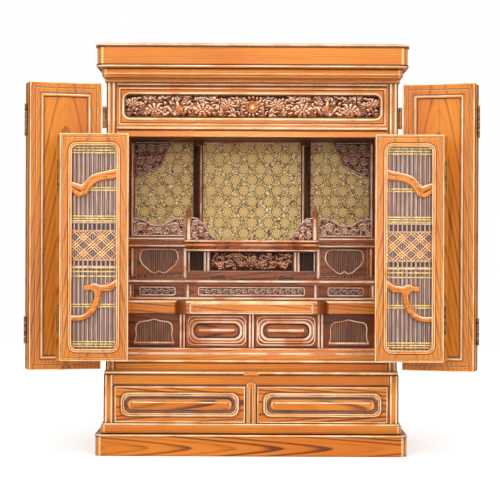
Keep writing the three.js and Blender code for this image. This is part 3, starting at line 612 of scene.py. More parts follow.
latticeSizes = {
    "leafLow": 142.5, "leafHigh": 470.4, "leafWide": 99.0, "stile": 17.0, "front": 8.6, "back": 10.6,
    "slats": 10, "slatWide": 2.1, "tuck": 1.0,       # how far slats and bars run under the frame
    "rods": (450.6, 446.6, 442.8, 392.2, 388.8, 351.4, 347.9, 344.4, 277.0, 271.2, 264.6, 224.0, 220.7,
             170.1, 166.6, 163.2), "rodHigh": 1.9,
    "bars": (342.0, 330.2, 288.2, 278.6), "barHigh": 2.4,
    "band": (288.2, 330.2), "fineGap": 4.9, "fineSlope": 0.9, "fineEvery": 26.0,
    # the lines of each group, how high and thick a bar is, and how deep it lies; the shade bars are dark
    # strips that stand in for the shadow between the fine bars
    "fineBars": ((-1, 0, 1), 1.5, 1.3, 0.0), "shadeBars": ((0,), 9.0, 0.7, 1.6),
    "infill": ((331.2, 341.0), (279.6, 287.2)),
    "gauze": 11.3,
}
latticeBranchLines = {
    "upper": ((15.5, 5.4, 397.5, 3.6), (24, 5.2, 394.5, 4.2), (32, 5, 390.5, 5.2), (38.5, 5.2, 397.5, 3.8),
              (46, 5, 407, 3.4), (56, 5, 411, 3.2), (66, 5, 412.5, 3.4), (83.5, 5.4, 416, 4.4)),
    "lower": ((15.5, 5.4, 204.5, 4.4), (27, 5, 203, 4.2), (38, 5, 206, 4.0), (48, 5, 214, 3.6),
              (54, 5, 225, 3.4), (56.5, 5, 238, 3.6), (57, 5, 246, 4.0), (63, 5, 249, 3.8),
              (72, 5, 248.5, 3.6), (83.5, 5.4, 256, 4.6)),
    "tip": ((59, 4.8, 246, 3.4), (53, 4.6, 252, 3.6), (46, 4.6, 250, 3.4), (41.5, 4.8, 244.5, 1.2)),
    "knots": ((32, 386, 2.6), (70, 252, 2.4)),
}


def latticeOpening(tuck=0.0):
    size = latticeSizes
    edge = size["stile"] - tuck
    return edge, size["leafWide"] - edge, size["leafLow"] + edge, size["leafHigh"] - edge


def barsAcross(spans, y0, y1):
    left, right = latticeOpening(latticeSizes["tuck"])[:2]
    return [addBlock(left, right, y0, y1, z0, z1) for z0, z1 in spans]


def latticeGrille():
    size = latticeSizes
    left, right, low, high = latticeOpening(size["tuck"])
    pitch = (right - left - 2) / size["slats"]
    parts = []
    for i in range(size["slats"]):
        x = left + 1 + pitch * (i + 0.5)
        for z0, z1 in ((low, size["band"][0]), (size["band"][1], high)):
            parts.append(addBlock(
                x - size["slatWide"] / 2, x + size["slatWide"] / 2, size["front"], size["back"], z0, z1,
            ))
    spans = [(z - size["barHigh"] / 2, z + size["barHigh"] / 2) for z in size["bars"]]
    return easeEdges(joinParts(parts + barsAcross(spans, size["front"] - 0.9, size["back"])), 0.35)


def latticeRods():  # thin bamboo rods laid across the slats
    size = latticeSizes
    spans = [(z - size["rodHigh"] / 2, z + size["rodHigh"] / 2) for z in size["rods"]]
    return easeEdges(joinParts(barsAcross(spans, size["front"] - 1.3, size["front"] + 0.2)), 0.4, 2)


def latticeInfill():
    size = latticeSizes
    return easeEdges(joinParts(barsAcross(size["infill"], size["front"] + 0.9, size["front"] + 1.7)), 0.2)


def latticeDiagonals(lines, bar, thick, deeper):  # bands of fine bars crossing like basket work
    size = latticeSizes
    left, right = latticeOpening()[:2]
    low, high = size["band"]
    middle, slope = (low + high) / 2, size["fineSlope"]
    reach = (high - middle) / slope
    parts = []
    for hand in (1, -1):
        for band in range(-1, 4):
            for line in lines:
                centre = left + 4 + band * size["fineEvery"] + line * size["fineGap"]
                x0, x1 = max(left, centre - reach), min(right, centre + reach)
                if x1 - x0 < 1.5:
                    continue
                x = (x0 + x1) / 2
                z = middle + hand * slope * (x - centre)
                half = (x1 - x0) * math.hypot(1, slope) / 2
                front = size["front"] - (0.5 if hand == 1 else 0) + deeper
                parts.append(addBlock(
                    x - half, x + half, front, front + thick, z - bar / 2, z + bar / 2,
                    -hand * math.atan(slope),
                ))
    return easeEdges(joinParts(parts), 0.3)


def latticeBranches():  # crooked natural branches crossing the lattice
    lines = [latticeBranchLines[name] for name in ("upper", "lower", "tip")]
    for x, z, radius in latticeBranchLines["knots"]:
        lines.append(((x, 4.6, z + 4, 3.6), (x, 4.4, z, radius), (x + 1, 4.6, z - 2.4, 0.6)))
    lines = [[(x, y - 1.4, z, radius) for x, y, z, radius in line] for line in lines]
    return flatten(addStrands(lines, 4, 4), 0.8, 4.0)


def gauzeSheet(x0, x1, y, z0, z1):
    choose()
    bpy.ops.mesh.primitive_grid_add(
        x_subdivisions=4, y_subdivisions=8, size=1, location=((x0 + x1) / 2 * mm, y * mm, (z0 + z1) / 2 * mm),
        rotation=(math.radians(90), 0, 0),
    )
    cloth = bpy.context.object
    cloth.scale = ((x1 - x0) * mm, (z1 - z0) * mm, 1)
    bpy.ops.object.transform_apply(location=True, rotation=True, scale=True)
    bpy.ops.object.modifier_add(type="SOLIDIFY")
    cloth.modifiers[-1].thickness = 0.25 * mm
    bpy.ops.object.modifier_apply(modifier=cloth.modifiers[-1].name)
    return cloth


leafOrigins = {"lattice": ((1, 0.5), (0.5, -14.5)), "outer": ((3, -18.5), (0.5, 0.5))}


def leafCorner(kind, fold, side):  # the frame in which a leaf is drawn: its hinge edge, outer face, height 0
    x, y = leafOrigins[kind][fold]
    place = leafPlace(kind, bool(fold)) @ Matrix.Translation((x * mm, y * mm, 0))
    return mirror @ place if side == "right" else place


def eachLeaf(kind):  # where each of the four leaves of this kind stands, and its name
    for side in sides:
        for fold, letter in enumerate("ab"):
            yield leafCorner(kind, fold, side), letter + "_" + side


def buildLattices():
    size = latticeSizes
    x0, x1, z0, z1 = latticeOpening()
    infill = finishFor("infill_wood", infillAndShadeWood)
    masters = {
        "grille": (latticeGrille(), finishFor("slat_wood", splitWood)),
        "branches": (latticeBranches(), finishFor("branch_wood", branchWood)),
        "diagonals": (latticeDiagonals(*size["fineBars"]), finishFor("bright_slat_wood", splitWood)),
        # dark strips in the gaps of the diagonals: painted shade
        "undershade": (latticeDiagonals(*size["shadeBars"]), infill),
        "infill": (latticeInfill(), infill),
        "gauze": (gauzeSheet(x0, x1, size["gauze"], z0, z1), finishFor("silk_gauze", stripedGauze)),
        "rods": (latticeRods(), finishFor("bamboo_rods", splitWood)),
    }
    for place, leaf in eachLeaf("lattice"):
        for part, (master, finish) in masters.items():
            piece = shifted(copied(master), place)
            slotName = "brocade" if part == "gauze" else "lattice_wood"
            settle(piece, "lattice_" + part + "_" + leaf, finish, "inner_" + leaf, slotName)
            if part == "grille":
                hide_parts("lattice_" + leaf)
    for master, finish in masters.values():
        bpy.data.objects.remove(master)
    print("lattices hung")


splitWoods = {
    "slat_wood": {"light": (206, 166, 136), "dark": (150, 104, 78), "grain": 700,
                  "drawnOut": (1, 1, 0.05), "ease": (0.3, 0.75), "rough": 0.35, "coat": 0.4},
    "bamboo_rods": {"light": (238, 208, 124), "dark": (188, 146, 78), "grain": 260,
                    "drawnOut": (1, 1, 1), "ease": (0.35, 0.7), "rough": 0.35, "coat": 0.3},
    "bright_slat_wood": {"light": (255, 200, 138), "dark": (232, 156, 84), "grain": 400,
                         "drawnOut": (1, 1, 1), "ease": (0.3, 0.75), "rough": 0.32, "coat": 0.5},
}


def splitWood(name):
    look = splitWoods[name]
    finish, wire = startFinish(name)
    streak = wire.place().moved(scale=look["drawnOut"]).noise(look["grain"], 2)
    colour = streak.between(*look["ease"]).mixed(look["light"], look["dark"])
    normal = easedEdges(wire, 0.4 * mm, streak)[0]
    return closeFinish(finish, wire, colour, look["rough"] + streak * 0.1, normal, look["coat"])


def branchWood(name):  # a painted highlight on its upper side, painted shade below
    finish, wire = startFinish(name)
    grain = wire.place().moved(scale=(0.25, 1, 1)).noise(320, 3)
    colour = grain.between(0.3, 0.7).mixed((222, 136, 50), (176, 92, 32))
    up = wire.place("Normal").parts()[2]
    colour = (up.between(0.3, 0.6) * (1 - up.between(0.85, 0.98))).mixed(colour, (255, 222, 180))
    colour = ((0 - up).between(0.45, 0.85) * 0.85).mixed(colour, (104, 44, 16))
    return closeFinish(finish, wire, colour, 0.3 + grain * 0.12, coat=0.2, shine=0.25)


# dark wood for the real infill panels, and for strips and plates that stand in for shade behind the lattice
# diagonals and the strip carvings
def infillAndShadeWood(name):
    finish, wire = startFinish(name)
    streak = wire.place().moved(scale=(0.1, 1, 1)).noise(500, 2)
    return closeFinish(finish, wire, streak.mixed((46, 20, 12), (84, 42, 24)), 0.45 + streak * 0.1)


gauzes = {
    # on the silk gauze behind the lattice the dark lines are painted shadows beside the slats
    "silk_gauze": {"length": 3.1, "drawnOut": 0.12, "grain": 160, "ease": (0.35, 0.9), "share": 0.75,
                   "first": (140, 124, 126), "second": (170, 144, 138), "line": (74, 52, 46),
                   "worn": (150, 122, 84)},
    "window_gauze": {"length": 3.3, "drawnOut": 0.1, "grain": 300, "ease": (0.3, 0.85), "share": 0.8,
                     "first": (150, 112, 88), "second": (118, 80, 66), "line": (74, 46, 36)},
    # a darker copy of the window gauze: painted shade for the dais sides
    "shaded_gauze": {"length": 3.3, "drawnOut": 0.1, "grain": 300, "ease": (0.3, 0.85), "share": 0.8,
                     "first": (75, 56, 44), "second": (59, 40, 33), "line": (37, 23, 18)},
}


def stripedGauze(name):
    look = gauzes[name]
    finish, wire = startFinish(name)
    point = wire.place()
    x = point.parts()[0]
    stripe = (x * (2 * math.pi / (look["length"] * mm))).sine() * 0.5 + 0.5
    cloud = point.moved(scale=(1, 1, look["drawnOut"])).noise(look["grain"], 2)
    colour = cloud.between(0.3, 0.7).mixed(look["first"], look["second"])
    if "worn" in look:
        colour = (point.noise(60, 2).between(0.45, 0.7) * 0.5).mixed(colour, look["worn"])
    # dark vertical lines, on the silk gauze painted slat shadows
    colour = (stripe.between(*look["ease"]) * look["share"]).mixed(colour, look["line"])
    return closeFinish(finish, wire, colour, 0.7 + cloud * 0.1, shine=0.1)


def fretted(name, look, plainBeyond):
    # pierced plate: leafy ridges over holes painted dark as shade, painted glints and edge highlights,
    # painted shade in crevices, plain where the post is
    finish, wire = startFinish(name)
    point = wire.place()
    ridge = point.cells(140, 0.012, 185.0, 0.9)[0]
    plate = 1 - point.parts()[0].size().between(plainBeyond - 0.5 * mm, plainBeyond)
    cloud = point.noise(420, 2)
    colour = cloud.between(0.3, 0.7).mixed(look["middle"], look["light"])
    # painted glints on the ridges
    glint = (1 - ridge.between(0.03, 0.1)) * cloud.between(0.46, 0.56) * plate
    colour = (glint * 0.9).mixed(colour, look["edge"])
    # the holes painted dark as shade
    colour = (ridge.between(0.14, 0.24) * plate).mixed(colour, look["dark"])
    colour = crevices(wire, 3 * mm).mixed(colour, look["dark"])
    normal, edge = easedEdges(wire, 0.6 * mm)
    colour = (edge * 0.7).mixed(colour, look["edge"])
    return closeFinish(finish, wire, colour, 0.4 + cloud * 0.2, normal, shine=0.15)


def carvedWood(name, look, faceY, floorY):
    # carving is painted dark in its depths as shade and lighter on top as highlight
    finish, wire = startFinish(name)
    point = wire.place()
    height = point.parts()[1].between(floorY * mm, faceY * mm)
    cloud = point.noise(120, 3)
    ground = cloud.mixed(look["dark"], look["middle"])
    colour = (height * (0.55 + cloud * 0.7)).mixed(ground, look["light"])
    forward, up = wire.place("Normal").parts()[1:]
    # a painted highlight on faces turned up and forward
    lit = (up - forward * 0.75).between(0.82, 1.04) * height.between(0.1, 0.5)
    # painted shade under faces turned down
    under = (0 - up - forward * 0.3).between(0.2, 0.8)
    colour = (under * 0.6).mixed(colour, look["dark"])
    colour = (lit * 0.95).mixed(colour, look["edge"])
    # painted shade in crevices, and a painted highlight along raised edges
    colour = crevices(wire, 3 * mm, 0.92).mixed(colour, (26, 9, 5))
    normal, edge = easedEdges(wire, 0.5 * mm, cloud)
    colour = (edge * height * 0.3).mixed(colour, look["edge"])
    return closeFinish(finish, wire, colour, 0.3 + cloud * 0.15, normal, height * 0.1, 0.08, 0.2)


transom = {
    "low": 500.2, "high": 534.4, "floor": -132.6, "middle": 517.0, "depth": (-138.2, -133.0),
    "ground": (-190.0, 190.0, -132.6, -131.8, 500.2, 534.4),
    "flowers": ((-146.0, 511.5, 14.5), (-74.0, 511.0, 15.0), (-37.5, 519.0, 11.5), (-179.5, 521.5, 11.0)),
    "uprights": ((-110, 503, 26, 4.2, 92), (-104, 502, 19, 2.8, 60), (-117, 502, 20, 2.8, 118),
                 (-50, 502, 17, 2.4, 66), (-24, 503, 17, 2.4, 112), (-17, 502, 18, 2.2, 80)),
    "angles": (20, 50, 80, 110, 140, 165, 200, 240, 300, 335), "leaves": 380, "seed": 7,
    "crestRings": ((8.1, 3.4, 1.1), (4.05, 4.0, 0.9)), "dome": 5.4,
    "look": {"dark": (40, 12, 5), "middle": (124, 58, 28), "light": (224, 134, 72),
             "edge": (255, 234, 204)},
}


def transomLeaves():  # the left half: flowers, upright leaves, a vine, and small leaves and curls between
    size = transom
    base, low, high = size["floor"], size["low"], size["high"]
    random.seed(size["seed"])
    strands = []
    for x, z, reach in size["flowers"]:
        strands += blossom(x, z, base - 2.2, reach, 9, 0.84, random.uniform(0, 40))
    for x, z, length, width, angle in size["uprights"]:
        strands.append(blade(x, z, base - 2.4, length, width, angle, 6, 2.4))
        strands.append(blade(x, z, base - 4.6, length * 0.92, width * 0.28, angle, 6, 2.4))
    strands.append([
        (x, base - 1.6, size["middle"] + 9.5 * math.sin(x / 17.5) + 2 * math.sin(x / 5.0), 1.25)
        for x in range(-188, -9, 6)
    ])
    for i in range(size["leaves"]):
        x = random.uniform(-188, -10)
        z = random.uniform(low + 2, high - 2)
        if any(math.hypot(x - fx, (z - fz) / 0.85) < reach * 0.62 for fx, fz, reach in size["flowers"]):
            continue
        angle = random.choice(size["angles"]) + random.uniform(-12, 12)
        length = random.uniform(7, 12)
        if not low + 1 < z + length * math.sin(math.radians(angle)) < high - 1:
            angle = -angle
        if random.random() < 0.28:
            strands.append(curl(
                x, min(max(z, low + 5), high - 5), base - 1.8, random.uniform(3.2, 4.8),
                random.uniform(0, 360), 1.2, 1.1, random.choice((1, -1)),
            ))
        else:
            strands.append(blade(
                x, z, base - random.uniform(0.8, 2.6), length, random.uniform(1.5, 2.5), angle,
                random.uniform(-40, 40), 2.2,
            ))
    return flatten(addStrands(strands), 0.72, base)


def transomCrest():  # a plain round flower boss
    base, middle, dome = transom["floor"], transom["middle"], transom["dome"]
    eighth = math.pi / 8
    strands = [
        [(reach * math.cos(i * eighth), base - lift, middle + reach * math.sin(i * eighth), thick)
         for i in range(17)]
        for reach, lift, thick in transom["crestRings"]
    ]
    strands += [
        blade(2.6 * math.cos(i * 2 * eighth), middle + 2.6 * math.sin(i * 2 * eighth), base - 3.6,
              4.8, 1.5, i * 45)
        for i in range(8)
    ]
    block = easeEdges(addBlock(-dome, dome, base - 3.4, base, middle - dome, middle + dome), 4.4, 5)
    settle(joinParts([block, addStrands(strands)]), "transom_crest", beadFinish("crest_polish"),
           slot="cabinet_wood")


def buildTransom():
    size = transom
    base = size["floor"]
    half = transomLeaves()
    other = shifted(copied(half), mirror)
    rays = []
    for degrees in range(10, 370, 24):
        angle = math.radians(degrees)
        x, z = 10.6 * math.cos(angle), size["middle"] + 10 * math.sin(angle)
        rays.append(blade(x, z, base - 1.6, 7, 2.1, degrees, 20, 1.8))
    transomCrest()
    ground = addBlock(*size["ground"])
    whole = joinParts([half, other, addStrands(rays), easeEdges(ground, 0.2)])
    finish = carvedWood("carved_transom", size["look"], *size["depth"])
    settle(whole, "transom_flowers", finish, slot="cabinet_wood", angle=60)
    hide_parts("transom_carving")
    print("transom carved")


daisRelief = {
    "ground": (-64.0, 64.0, -1.4, -0.2, 271.6, 299.4), "floor": -1.4, "depth": (-5.0, -1.0),
    "leaves": 150, "seed": 11,
    "curls": ((-52, 287, 9.5, 90, 1.6, 1.5, 1), (-34, 281, 6.5, 200, 1.3, 1.3, -1),
              (-20, 291, 6.0, 20, 1.3, 1.3, 1)),
    "sprays": ((-44, 276, 13, 50, 30), (-30, 290, 12, -35, 30), (-12, 277, 12, 35, 34)),
    "look": {"dark": (40, 16, 10), "middle": (92, 42, 24), "light": (186, 104, 62),
             "edge": (250, 200, 165)},
}


def buildDaisRelief():
    size = daisRelief
    base = size["floor"]
    random.seed(size["seed"])
    strands = []
    for hand in (1, -1):
        for x, z, radius, start, turns, thick, way in size["curls"]:
            strands.append(curl(hand * x, z, base - 1.4, radius, start, turns, thick, hand * way))
        for x, z, reach, lean, spread in size["sprays"]:
            strands += spray(hand * x, z, base - 1.4, reach, 90 + hand * lean, 3, spread)
    strands += blossom(0, 286, base - 1.2, 9.5, 9, 0.9)
    for i in range(size["leaves"]):
        x = random.uniform(-61, 61)
        z = random.uniform(274, 297)
        if math.hypot(x, z - 286) < 8:
            continue
        angle = random.uniform(0, 360)
        strands.append(blade(
            x, z, base - 0.8, random.uniform(5, 9), random.uniform(1.1, 1.8), angle,
            random.uniform(-40, 40), 1.4,
        ))
    strands = [
        [(min(max(x, -63), 63), y, min(max(z, 273), 298), radius) for x, y, z, radius in strand]
        for strand in strands
    ]
    relief = flatten(addStrands(strands), 0.75, base)
    whole = joinParts([relief, easeEdges(addBlock(*size["ground"]), 0.2)])
    settle(whole, "dais_scrolls", carvedWood("carved_dais", size["look"], *size["depth"]), angle=60)
    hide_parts("dais_carving")
    print("dais front carved")


strips = {
    "y": -52.9, "z": 239.4, "curl": 4.4, "rim": (-54.6, 233.9, 0.7),
    "middle": {"count": 17, "start": -76, "pitch": 9.5, "spin": 90, "turns": 1.15, "thick": 0.8,
               "blades": ((-3, 6.5, 1.0, 55), (1.5, 5, 0.9, 20)), "rimEnds": (-80.6, 80.6)},
    "side": {"count": 6, "start": -167, "pitch": 9.2, "spin": -90, "turns": 1.1, "thick": 0.75,
             "blades": ((-3, 6, 0.95, 60),), "rimEnds": (-171, -119)},
    "grounds": ((-81, 81), (-171.6, -118.4), (118.4, 171.6)), "groundBox": (-52.5, -51.9, 233.8, 245.0),
    "depth": (-55.0, -52.0),
    "look": {"dark": (46, 20, 12), "middle": (98, 46, 26), "light": (222, 150, 108),
             "edge": (255, 224, 198)},
}


def stripArabesque(part):
    size, run = strips, strips[part]
    y, z = size["y"], size["z"]
    strands = []
    for i in range(run["count"]):
        x = run["start"] + i * run["pitch"]
        hand = 1 if i % 2 else -1
        strands.append(curl(x, z, y, size["curl"], run["spin"] * hand, run["turns"], run["thick"], hand))
        for lift, length, width, angle in run["blades"]:
            strands.append(blade(x + 3.5, z + hand * lift, y, length, width, hand * angle, 20))
    strands.append([(x, *size["rim"]) for x in run["rimEnds"]])
    return addStrands(strands)


def buildStrips():
    finish = carvedWood("carved_strips", strips["look"], *strips["depth"])
    # dark ground plates behind the openwork: painted shade in the recess
    grounds = [addBlock(*ends, *strips["groundBox"]) for ends in strips["grounds"]]
    settle(easeEdges(joinParts(grounds), 0.2), "strip_grounds", finishFor("infill_wood", infillAndShadeWood))
    settle(stripArabesque("middle"), "strip_arabesque_middle", finish)
    settlePair(stripArabesque("side"), "strip_arabesque_side", finish)
    print("strips carved")


# pierced scrolls at the left: curls are x, z, reach, start, hand; rims are x, z, radius
fretwork = {
    "bracket": {
        "y": 138.6, "depth": (136.5, 142.0), "turns": 1.35, "thick": 1.35,
        "leafAt": (3, -3), "leafShare": 0.95, "leafTurn": 40, "spread": 38,
        "curls": ((-184, 470, 8, 0, 1), (-167, 470, 8, 180, -1), (-150, 471, 7, 60, 1),
                  (-185, 451, 7.5, 200, 1), (-169, 452, 7.5, 20, -1), (-155, 455, 6, 120, 1),
                  (-187, 434, 5.5, 300, -1), (-176, 439, 5, 90, 1), (-143, 474, 4.5, 0, 1)),
        "rims": (((-193, 480.5, 1.2), (-160, 480.5, 1.2), (-139, 480.5, 1.2)),
                 ((-194.5, 421.5, 1.2), (-184, 427.5, 1.3), (-169, 435, 1.3), (-153, 440.5, 1.3),
                  (-149, 450, 1.3), (-143, 465, 1.3), (-137, 479.5, 1.2))),
    },
    "railing": {
        "y": -22.0, "depth": (-23.5, -20.0), "turns": 1.3, "thick": 1.25,
        "leafAt": (-2, -4), "leafShare": 0.9, "leafTurn": 70, "spread": 40,
        "curls": ((-174, 338, 7.5, 0, 1), (-158, 331, 5.5, 180, -1), (-146, 332, 5.5, 0, 1),
                  (-133, 333, 5.5, 180, 1), (-120, 338, 7.5, 180, -1), (-182, 330, 4.5, 90, -1),
                  (-112, 330, 4.5, 90, 1)),
        "rims": (((-185.5, 325, 1.3), (-146, 325, 1.3), (-107, 325, 1.3)),
                 ((-185.5, 352, 1.0), (-172, 350.5, 1.0), (-163, 346, 1.0), (-158, 340.5, 1.0),
                  (-138, 340.5, 1.0), (-132, 345, 1.0), (-124, 350, 1.0), (-112, 352.5, 1.0),
                  (-107, 351.5, 1.0))),
    },
    "newel": {
        "y": -24.0, "depth": (-25.5, -22.0), "turns": 1.3, "thick": 1.15,
        "leafAt": (0, 0), "leafShare": 0.9, "leafTurn": 70, "spread": 40,
        "curls": ((-88, 345, 5, 0, 1), (-80, 334, 5.5, 180, -1), (-89, 326, 4.5, 60, 1),
                  (-70, 327, 4, 0, 1)),
        "rims": (((-95, 353, 1.0), (-84, 352.5, 1.0), (-82, 347, 1.0), (-75, 343.5, 1.0),
                  (-73, 337, 1.0), (-68, 333, 1.0), (-66, 326.5, 1.0), (-58, 321, 1.0)),),
    },
}
fretworkLook = {
    "dark": (30, 11, 7), "middle": (104, 48, 26), "light": (206, 136, 98),
    "edge": (255, 240, 228),
}


def buildFretwork():
    for part, size in fretwork.items():
        y = size["y"]
        dx, dz = size["leafAt"]
        strands = []
        for x, z, reach, start, hand in size["curls"]:
            strands.append(curl(x, z, y, reach, start, size["turns"], size["thick"], hand))
            strands += spray(x + dx, z + dz, y, reach * size["leafShare"], start + size["leafTurn"],
                             3, size["spread"], 0.16)
        strands += [[(x, y, z, radius) for x, z, radius in rim] for rim in size["rims"]]
        finish = carvedWood("carved_" + part + "s", fretworkLook, *size["depth"])
        settlePair(addStrands(strands), part + "_scrolls", finish)
    print("fretwork cut")


windows = {
    # middle, half width, low, high, depth, finish, what it rests on
    "cloths": {
        "lower_window_gauze": (-148.3, 29.5, 162.0, 198.0, -82.3, "window_gauze", "lower_box_SIDE"),
        "upper_window_gauze": (-145.4, 29.5, 266.0, 304.5, -9.3, "window_gauze", "upper_box_SIDE"),
        "dais_gauze": (-87.5, 11.5, 271.0, 300.0, -0.3, "shaded_gauze", "dais"),
    },
    "rims": {
        # half outline as shares of the half width and the height; middle, low, high, depth
        "flame": (((1.0, 0), (0.93, 0.12), (0.9, 0.35), (0.93, 0.58), (0.88, 0.78), (0.72, 0.88), (0.3, 0.93),
                   (0, 1)), -148.3, 162.5, 197.5, -85.4),
        "shield": (((0, 0.1), (0.2, 0.0), (0.42, 0.06), (0.62, 0.2), (0.85, 0.36), (1.0, 0.6), (0.96, 0.85),
                    (0.86, 0.97), (0.6, 1.0), (0, 1.0)), -145.4, 266.5, 304, -12.4),
    },
    "rimHalf": 30, "rim": 0.85, "sill": ((-178.5, -87.2, 161.8), (-118, -87.2, 161.8)),
}


def buildWindows():
    for name, (middle, half, z0, z1, y, look, rest) in windows["cloths"].items():
        cloth = gauzeSheet(middle - half, middle + half, y, z0, z1)
        pair = settlePair(cloth, name, finishFor(look, stripedGauze), slot="brocade")
        for side, piece in zip(sides, pair):
            rest.replace("SIDE", side)
    strands = []
    for outline, middle, z0, z1, y in windows["rims"].values():
        for hand in (windows["rimHalf"], -windows["rimHalf"]):
            points = [(middle + hand * a, y, z0 + b * (z1 - z0)) for a, b in outline]
            strands.append(bead(points, windows["rim"]))
    strands.append(bead(windows["sill"], 1.5))
    # the rims and the sill bead take a painted highlight
    settlePair(addBeads(strands), "window_rims", beadFinish("altar_bead"))
    print("windows lined")


# polished beads: every moulding carries a pale bead as its painted highlight line, with dark beads beside it
# as painted shadow lines
beadTones = {
    "case_bead": ((255, 222, 176), (236, 166, 92)), "case_groove": ((116, 54, 22), (76, 30, 12)),
    "altar_bead": ((255, 222, 192), (222, 146, 98)), "crest_polish": ((214, 132, 62), (150, 76, 30)),
    # the drawer groove tones are painted shadow
    "big_groove": ((122, 66, 30), (85.4, 46.2, 21)), "small_groove": ((48, 20, 12), (33.6, 14, 8.4)),
    "dark_return": ((66, 28, 14), (40, 16, 8)), "shelf_reed": ((226, 150, 88), (150, 76, 36)),
}


def polishedBead(name):
    light, dark = beadTones[name]
    finish, wire = startFinish(name)
    cloud = wire.place().noise(30, 3)
    colour = cloud.between(0.38, 0.68).mixed(light, dark)
    return closeFinish(finish, wire, colour, 0.2 + cloud * 0.1, coat=0.3, coatRough=0.05)


def beadFinish(name):
    return finishFor(name, polishedBead)


def bead(points, radius):  # one thickness along a broken line
    return [(*point, radius) for point in points]


def across(half, y, z, radius):
    return bead([(-half, y, z), (half, y, z)], radius)


def upright(x, y, z0, z1, radius):  # at the right and at the left
    return [bead([(side * x, y, z0), (side * x, y, z1)], radius) for side in (1, -1)]


def level(x0, x1, y, z, radius):  # at the right and at the left
    return [bead([(side * x0, y, z), (side * x1, y, z)], radius) for side in (1, -1)]


def loop(x0, x1, z0, z1, corner, y, radius, steps=5):  # closed, with round corners
    points = []
    for cx, cz, start in (
        (x1 - corner, z1 - corner, 0), (x0 + corner, z1 - corner, 90),
        (x0 + corner, z0 + corner, 180), (x1 - corner, z0 + corner, 270),
    ):
        for i in range(steps + 1):
            angle = math.radians(start + 90 * i / steps)
            points.append((cx + corner * math.cos(angle), y, cz + corner * math.sin(angle)))
    middle = ((x0 + x1) / 2, y, z0)
    return bead([middle] + points[-steps - 1:] + points[:-steps - 1] + [middle], radius)


def around(half, front, corner, z, radius, back=170):  # along one side, the front and the other side
    points = [(-half, back, z), (-half, front + corner, z)]
    for start, cx in ((180, -half + corner), (270, half - corner)):
        for i in range(7):
            angle = math.radians(start + 15 * i)
            points.append((cx + corner * math.cos(angle), front + corner + corner * math.sin(angle), z))
    points += [(half, front + corner, z), (half, back, z)]
    return bead(points, radius)


caseBeads = {
    # half width, front, corner, height, radius, and how far off its painted groove shadow lies
    "mouldings": ((229.6, -175.4, 14.6, 573.4, 1.1, 2.4), (230.4, -176.0, 15.6, 604.6, 1.2, -2.4),
                  (221.6, -166.6, 9.6, 563.0, 0.7, -2.4), (229.4, -174.6, 12.6, 30.4, 1.2, -2.4),
                  (219.6, -165.4, 7.6, 45.9, 1.3, -2.6)),
    "lipShade": (230.2, -175.6, 15.2, 601.6, 0.9),
    # half width, depth, height, radius, and how far off its painted groove shadow lies
    "rails": ((200.5, -141.3, 484.5, 1.5, -2.9), (200.5, -141.0, 549.6, 0.8, -2.6),
              (201.0, -140.6, 137.6, 1.5, -2.8), (216.5, -162.2, 121.8, 1.5, -2.9),
              (200.5, -130.2, 473.4, 1.0, 2.2)),
    "drawerGap": (202.4, 8.6, -161.0, 103.3, 0.95),
    # half width, low, high, corner, depth, radius; groove shadow: inset, deeper, radius
    "fields": ((192.3, 498.1, 536.6, 9.6, -141.0, 1.5, 2.6, 0.6, 1.1),
               (197.6, 490.4, 543.6, 0.8, -139.6, 0.7, 2.0, 0.5, 0.8)),
    # x, depth, low, high, radius, x of its groove shadow
    "posts": ((-213.5, -141.4, 124.5, 551.5, 1.3, -215.9), (-206.1, -141.4, 124.5, 551.5, 1.3, -203.7),
              (-214.6, -160.2, 47.5, 118.8, 1.4, -217.0), (-206.4, -160.2, 47.5, 118.8, 1.4, -204.0)),
    "reeds": (3.5, 3.1),
}


def buildCaseBeads():
    size = caseBeads
    # pale beads: painted highlight lines; dark beads: painted shadow lines
    pale = [around(*values[:5]) for values in size["mouldings"]]
    pale += [across(*values[:4]) for values in size["rails"]]
    dark = [across(half, y + 0.7, z + drop, 1.0) for half, y, z, radius, drop in size["rails"]]
    dark += [
        around(half, front + 0.5, corner, z + drop, 1.0)
        for half, front, corner, z, radius, drop in size["mouldings"]
    ]
    dark.append(around(*size["lipShade"]))
    # painted shadow in the gap above the drawers
    dark += level(*size["drawerGap"])
    for half, z0, z1, corner, y, radius, inset, deeper, grooveRadius in size["fields"]:
        pale.append(loop(-half, half, z0, z1, corner, y, radius))
        grooveCorner = corner - inset if corner > inset else corner
        dark.append(loop(
            inset - half, half - inset, z0 + inset, z1 - inset, grooveCorner, y + deeper, grooveRadius,
        ))
    for x, y, z0, z1, radius, grooveX in size["posts"]:
        pale += upright(x, y, z0, z1, radius)
        dark += upright(grooveX, y + 0.7, z0, z1, 0.9)
    settle(addBeads(pale), "case_beads", beadFinish("case_bead"), slot="cabinet_wood")
    settle(addBeads(dark), "case_grooves", beadFinish("case_groove"), slot="cabinet_wood")
    apart, thick = size["reeds"]
    reeds = [bead([(x, -164.0, 47.6), (x, -164.0, 98), (x, -162.6, 101.4)], thick) for x in (-apart, apart)]
    finish = lacqueredWood("zelkova_reeds", outerLook, "Z", (0.0, -0.14), 0.4)
    settle(addBeads(reeds, 3), "divider_reeds", finish, slot="cabinet_wood")
    print("case beads laid")


